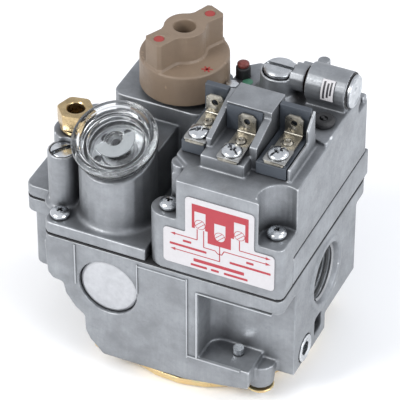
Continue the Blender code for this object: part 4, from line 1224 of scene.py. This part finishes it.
def label_print():
    """The wiring picture: three screws on a red panel, and the leads with their arrows."""
    panel = [(50.8, 31.1), (70.7, 31.1), (70.7, 21.4), (69.5, 21.4), (64.6, 21.4), (64.6, 16.4),
             (56.4, 16.4), (56.4, 21.2), (50.8, 21.2)]
    ink, white = [print_flat(panel)], []
    for x, z, top in ((53.7, 23.2, 28.2), (60.7, 20.3, 25.5), (67.6, 23.3, 28.4)):
        white.append(print_flat(rectangle(x - 1.95, z, x + 1.95, top), 0.015))
        ink.append(print_flat(arc((x, z), 1.95, 0, 360, 32)[:-1], 0.03))
        white.append(print_flat(arc((x, z), 1.72, 0, 360, 32)[:-1], 0.045))
        for shift in (-0.42, 0.42):
            ink.append(line(x - 1.25 + shift, z - 1.2 - shift, x + 1.25 + shift, z + 1.2 - shift, 0.22,
                            0.06))
    white.append(print_flat(rectangle(65.7, 21.3, 69.5, 23.3), 0.02))
    white.append(print_flat(rectangle(51.9, 21.1, 55.5, 23.2), 0.02))
    leads = [
        [(52.7, 21.6), (52.7, 16.6), (44.9, 16.6)],
        [(55.0, 21.9), (55.0, 14.2), (59.1, 14.2), (59.9, 13.2), (61.4, 13.2), (62.2, 14.9), (76.9, 14.9)],
        [(60.65, 16.5), (60.65, 10.2), (44.9, 10.2)],
        [(67.6, 21.6), (67.6, 17.2), (76.9, 17.2)],
    ]
    for lead in leads:
        for (x0, z0), (x1, z1) in zip(lead, lead[1:]):
            ink.append(line(x0, z0, x1, z1, 0.34))
    ink += [arrow(43.2, 16.6, -1), arrow(43.2, 10.2, -1), arrow(78.5, 14.9, 1), arrow(78.5, 17.2, 1)]
    for x0, x1, z, height in ((47.6, 50.6, 14.6, 0.9), (42.9, 56.0, 12.3, 0.9), (51.4, 69.3, 7.9, 1.3),
                              (50.4, 56.2, 5.7, 0.9), (57.6, 60.4, 5.7, 0.9), (62.2, 70.6, 5.7, 0.9),
                              (70.0, 72.6, 13.1, 0.9), (64.2, 78.6, 11.0, 0.9)):
        ink.append(print_flat(rectangle(x0, z - height / 2, x1, z + height / 2, 0.2)))
    housed(gather(ink), "wiring_print", "ink")
    housed(gather(white), "wiring_windows", "label")


class GASVALVE_OT_label(bpy.types.Operator):
    """Build the wiring label and its picture, with plain bars in place of words"""
    bl_idname = "gasvalve.label"
    bl_label = "Wiring label"

    def execute(self, context):
        label_film()
        label_print()
        return {"FINISHED"}


# ---------------------------------------------------------------- stage
LIGHTS = (
    ("key", (-0.55, -0.75, 0.80), 0.50, (1.0, 0.99, 0.97)),
    ("fill", (0.80, -0.25, 0.50), 0.60, (0.96, 0.98, 1.0)),
    ("back", (0.75, 0.70, 1.10), 0.50, (1.0, 1.0, 1.0)),
)
FLOOR_GAP = 0.0003
SENSOR_WIDTH = 36.0


def soft_light(name, place, target, size, power, tint):
    data = bpy.data.lights.new(name, "AREA")
    data.shape = "DISK"
    data.size = size
    data.energy = power
    data.color = tint
    lamp = bpy.data.objects.new(name, data)
    bpy.context.scene.collection.objects.link(lamp)
    lamp.location = place
    lamp.rotation_euler = (Vector(target) - Vector(place)).to_track_quat("-Z", "Y").to_euler()
    return lamp


def floor_sheet():
    make = Recipe("pale_studio_floor")
    skin = make.mix(make.level(make.noise(60.0, 2.0), 0.3, 0.7), (0.97, 0.97, 0.97), (0.955, 0.955, 0.96))
    finish = make.set(base_color=skin, roughness=0.9)
    work = bmesh.new()
    bmesh.ops.create_grid(work, x_segments=8, y_segments=8, size=4.0)
    mesh = bpy.data.meshes.new("studio_floor")
    work.to_mesh(mesh)
    work.free()
    floor = new_object("studio_floor", mesh)
    mesh.materials.append(finish)
    mesh.transform(Matrix.Translation((0, 0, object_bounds()[0][2] - FLOOR_GAP)))
    floor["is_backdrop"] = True


class GASVALVE_OT_stage(bpy.types.Operator):
    """Build the floor, the soft lights and the camera"""
    bl_idname = "gasvalve.stage"
    bl_label = "Stage"

    def execute(self, context):
        view = context.scene.gas_valve_stage
        floor_sheet()
        world = bpy.data.worlds.new("studio_air")
        world.use_nodes = True
        air = world.node_tree.nodes["Background"]
        air.inputs["Color"].default_value = (0.93, 0.95, 1.0, 1.0)
        air.inputs["Strength"].default_value = view.air
        context.scene.world = world
        context.scene.view_settings.view_transform = "Standard"
        target = Vector(view.target)
        for name, place, size, tint in LIGHTS:
            soft_light(name + "_light", place, target, size, getattr(view, name), tint)
        turn, rise = view.turn, view.rise
        reach = Vector((math.cos(rise) * math.sin(turn), -math.cos(rise) * math.cos(turn), math.sin(rise)))
        data = bpy.data.cameras.new("studio_camera")
        data.lens = view.lens
        data.sensor_width = SENSOR_WIDTH
        data.clip_start = 0.05
        camera = bpy.data.objects.new("studio_camera", data)
        context.scene.collection.objects.link(camera)
        camera.location = target + reach * view.distance
        camera.rotation_euler = (-reach).to_track_quat("-Z", "Y").to_euler()
        context.scene.camera = camera
        return {"FINISHED"}


# ---------------------------------------------------------------- settings, panel and run
class GasValveCasting(bpy.types.PropertyGroup):
    voxel: FloatProperty(name="Casting detail",
                         description="Size of the smallest cast detail, in millimetres", default=0.42,
                         min=0.2, max=2.0)
    relax: IntProperty(name="Edge softness", description="How many times the cast edges are relaxed",
                       default=4, min=0, max=20)


def colour(name, about, value):
    return FloatVectorProperty(name=name, description=about, subtype="COLOR", default=value, min=0, max=1)


def power(name, about, value):
    return FloatProperty(name=name, description=about, default=value, min=0)


class GasValveColours(bpy.types.PropertyGroup):
    casting: colour("Casting", "Colour of the bare die-cast aluminium", (0.31, 0.324, 0.342))
    knob: colour("Knob", "Colour of the gas cock knob", (0.215, 0.158, 0.112))
    terminal_block: colour("Terminal block", "Colour of the terminal block moulding", (0.060, 0.070, 0.085))
    brass: colour("Brass", "Colour of the pilot tube nut", (0.62, 0.47, 0.26))
    chromate: colour("Bottom cover", "Colour of the yellow chromate plating", (0.72, 0.60, 0.34))
    ink: colour("Label ink", "Colour of the wiring label's ink", (0.38, 0.03, 0.045))


class GasValveStage(bpy.types.PropertyGroup):
    turn: FloatProperty(name="Camera turn",
                        description="How far the camera stands round to the right of the front",
                        subtype="ANGLE", default=math.radians(24.6))
    rise: FloatProperty(name="Camera rise", description="How high the camera looks down from",
                        subtype="ANGLE", default=math.radians(39.0))
    distance: FloatProperty(name="Camera distance", description="Distance from the camera to its target",
                            subtype="DISTANCE", default=0.9677)
    lens: FloatProperty(name="Lens", description="Focal length of the camera, in millimetres",
                        default=270.0)
    target: FloatVectorProperty(name="Target", description="The point that the camera looks at",
                                subtype="XYZ", default=(0.00781, -0.0284, 0.0779))
    key: power("Key light", "Power of the main light, in watts", 8.5)
    fill: power("Fill light", "Power of the light on the outlet side, in watts", 4.6)
    back: power("Back light", "Power of the light behind, in watts", 2.5)
    air: power("Room light", "Strength of the pale light all round", 0.80)


STEPS = [
    GASVALVE_OT_finishes,
    GASVALVE_OT_castings,
    GASVALVE_OT_bottom_cover,
    GASVALVE_OT_knob,
    GASVALVE_OT_button,
    GASVALVE_OT_fittings,
    GASVALVE_OT_fasteners,
    GASVALVE_OT_terminals,
    GASVALVE_OT_operator_parts,
    GASVALVE_OT_label,
    GASVALVE_OT_stage,
]


class GASVALVE_PT_panel(bpy.types.Panel):
    bl_idname = "GASVALVE_PT_panel"
    bl_label = "Gas Valve"
    bl_space_type = "VIEW_3D"
    bl_region_type = "UI"
    bl_category = "Gas Valve"

    def draw(self, context):
        for step in STEPS:
            self.layout.operator(step.bl_idname)
        for group in (context.scene.gas_valve_casting, context.scene.gas_valve_colours,
                      context.scene.gas_valve_stage):
            for key in group.__annotations__:
                self.layout.prop(group, key)


GROUPS = {"gas_valve_casting": GasValveCasting, "gas_valve_colours": GasValveColours,
          "gas_valve_stage": GasValveStage}


def register():
    for made in [*GROUPS.values(), *STEPS, GASVALVE_PT_panel]:
        bpy.utils.register_class(made)
    for key, group in GROUPS.items():
        setattr(bpy.types.Scene, key, PointerProperty(type=group))


def unregister():
    for key in GROUPS:
        delattr(bpy.types.Scene, key)
    for made in reversed([*GROUPS.values(), *STEPS, GASVALVE_PT_panel]):
        bpy.utils.unregister_class(made)


def main():
    register()
    for step in STEPS:
        family, action = step.bl_idname.split(".")
        getattr(getattr(bpy.ops, family), action)()


if __name__ == "__main__":
    main()
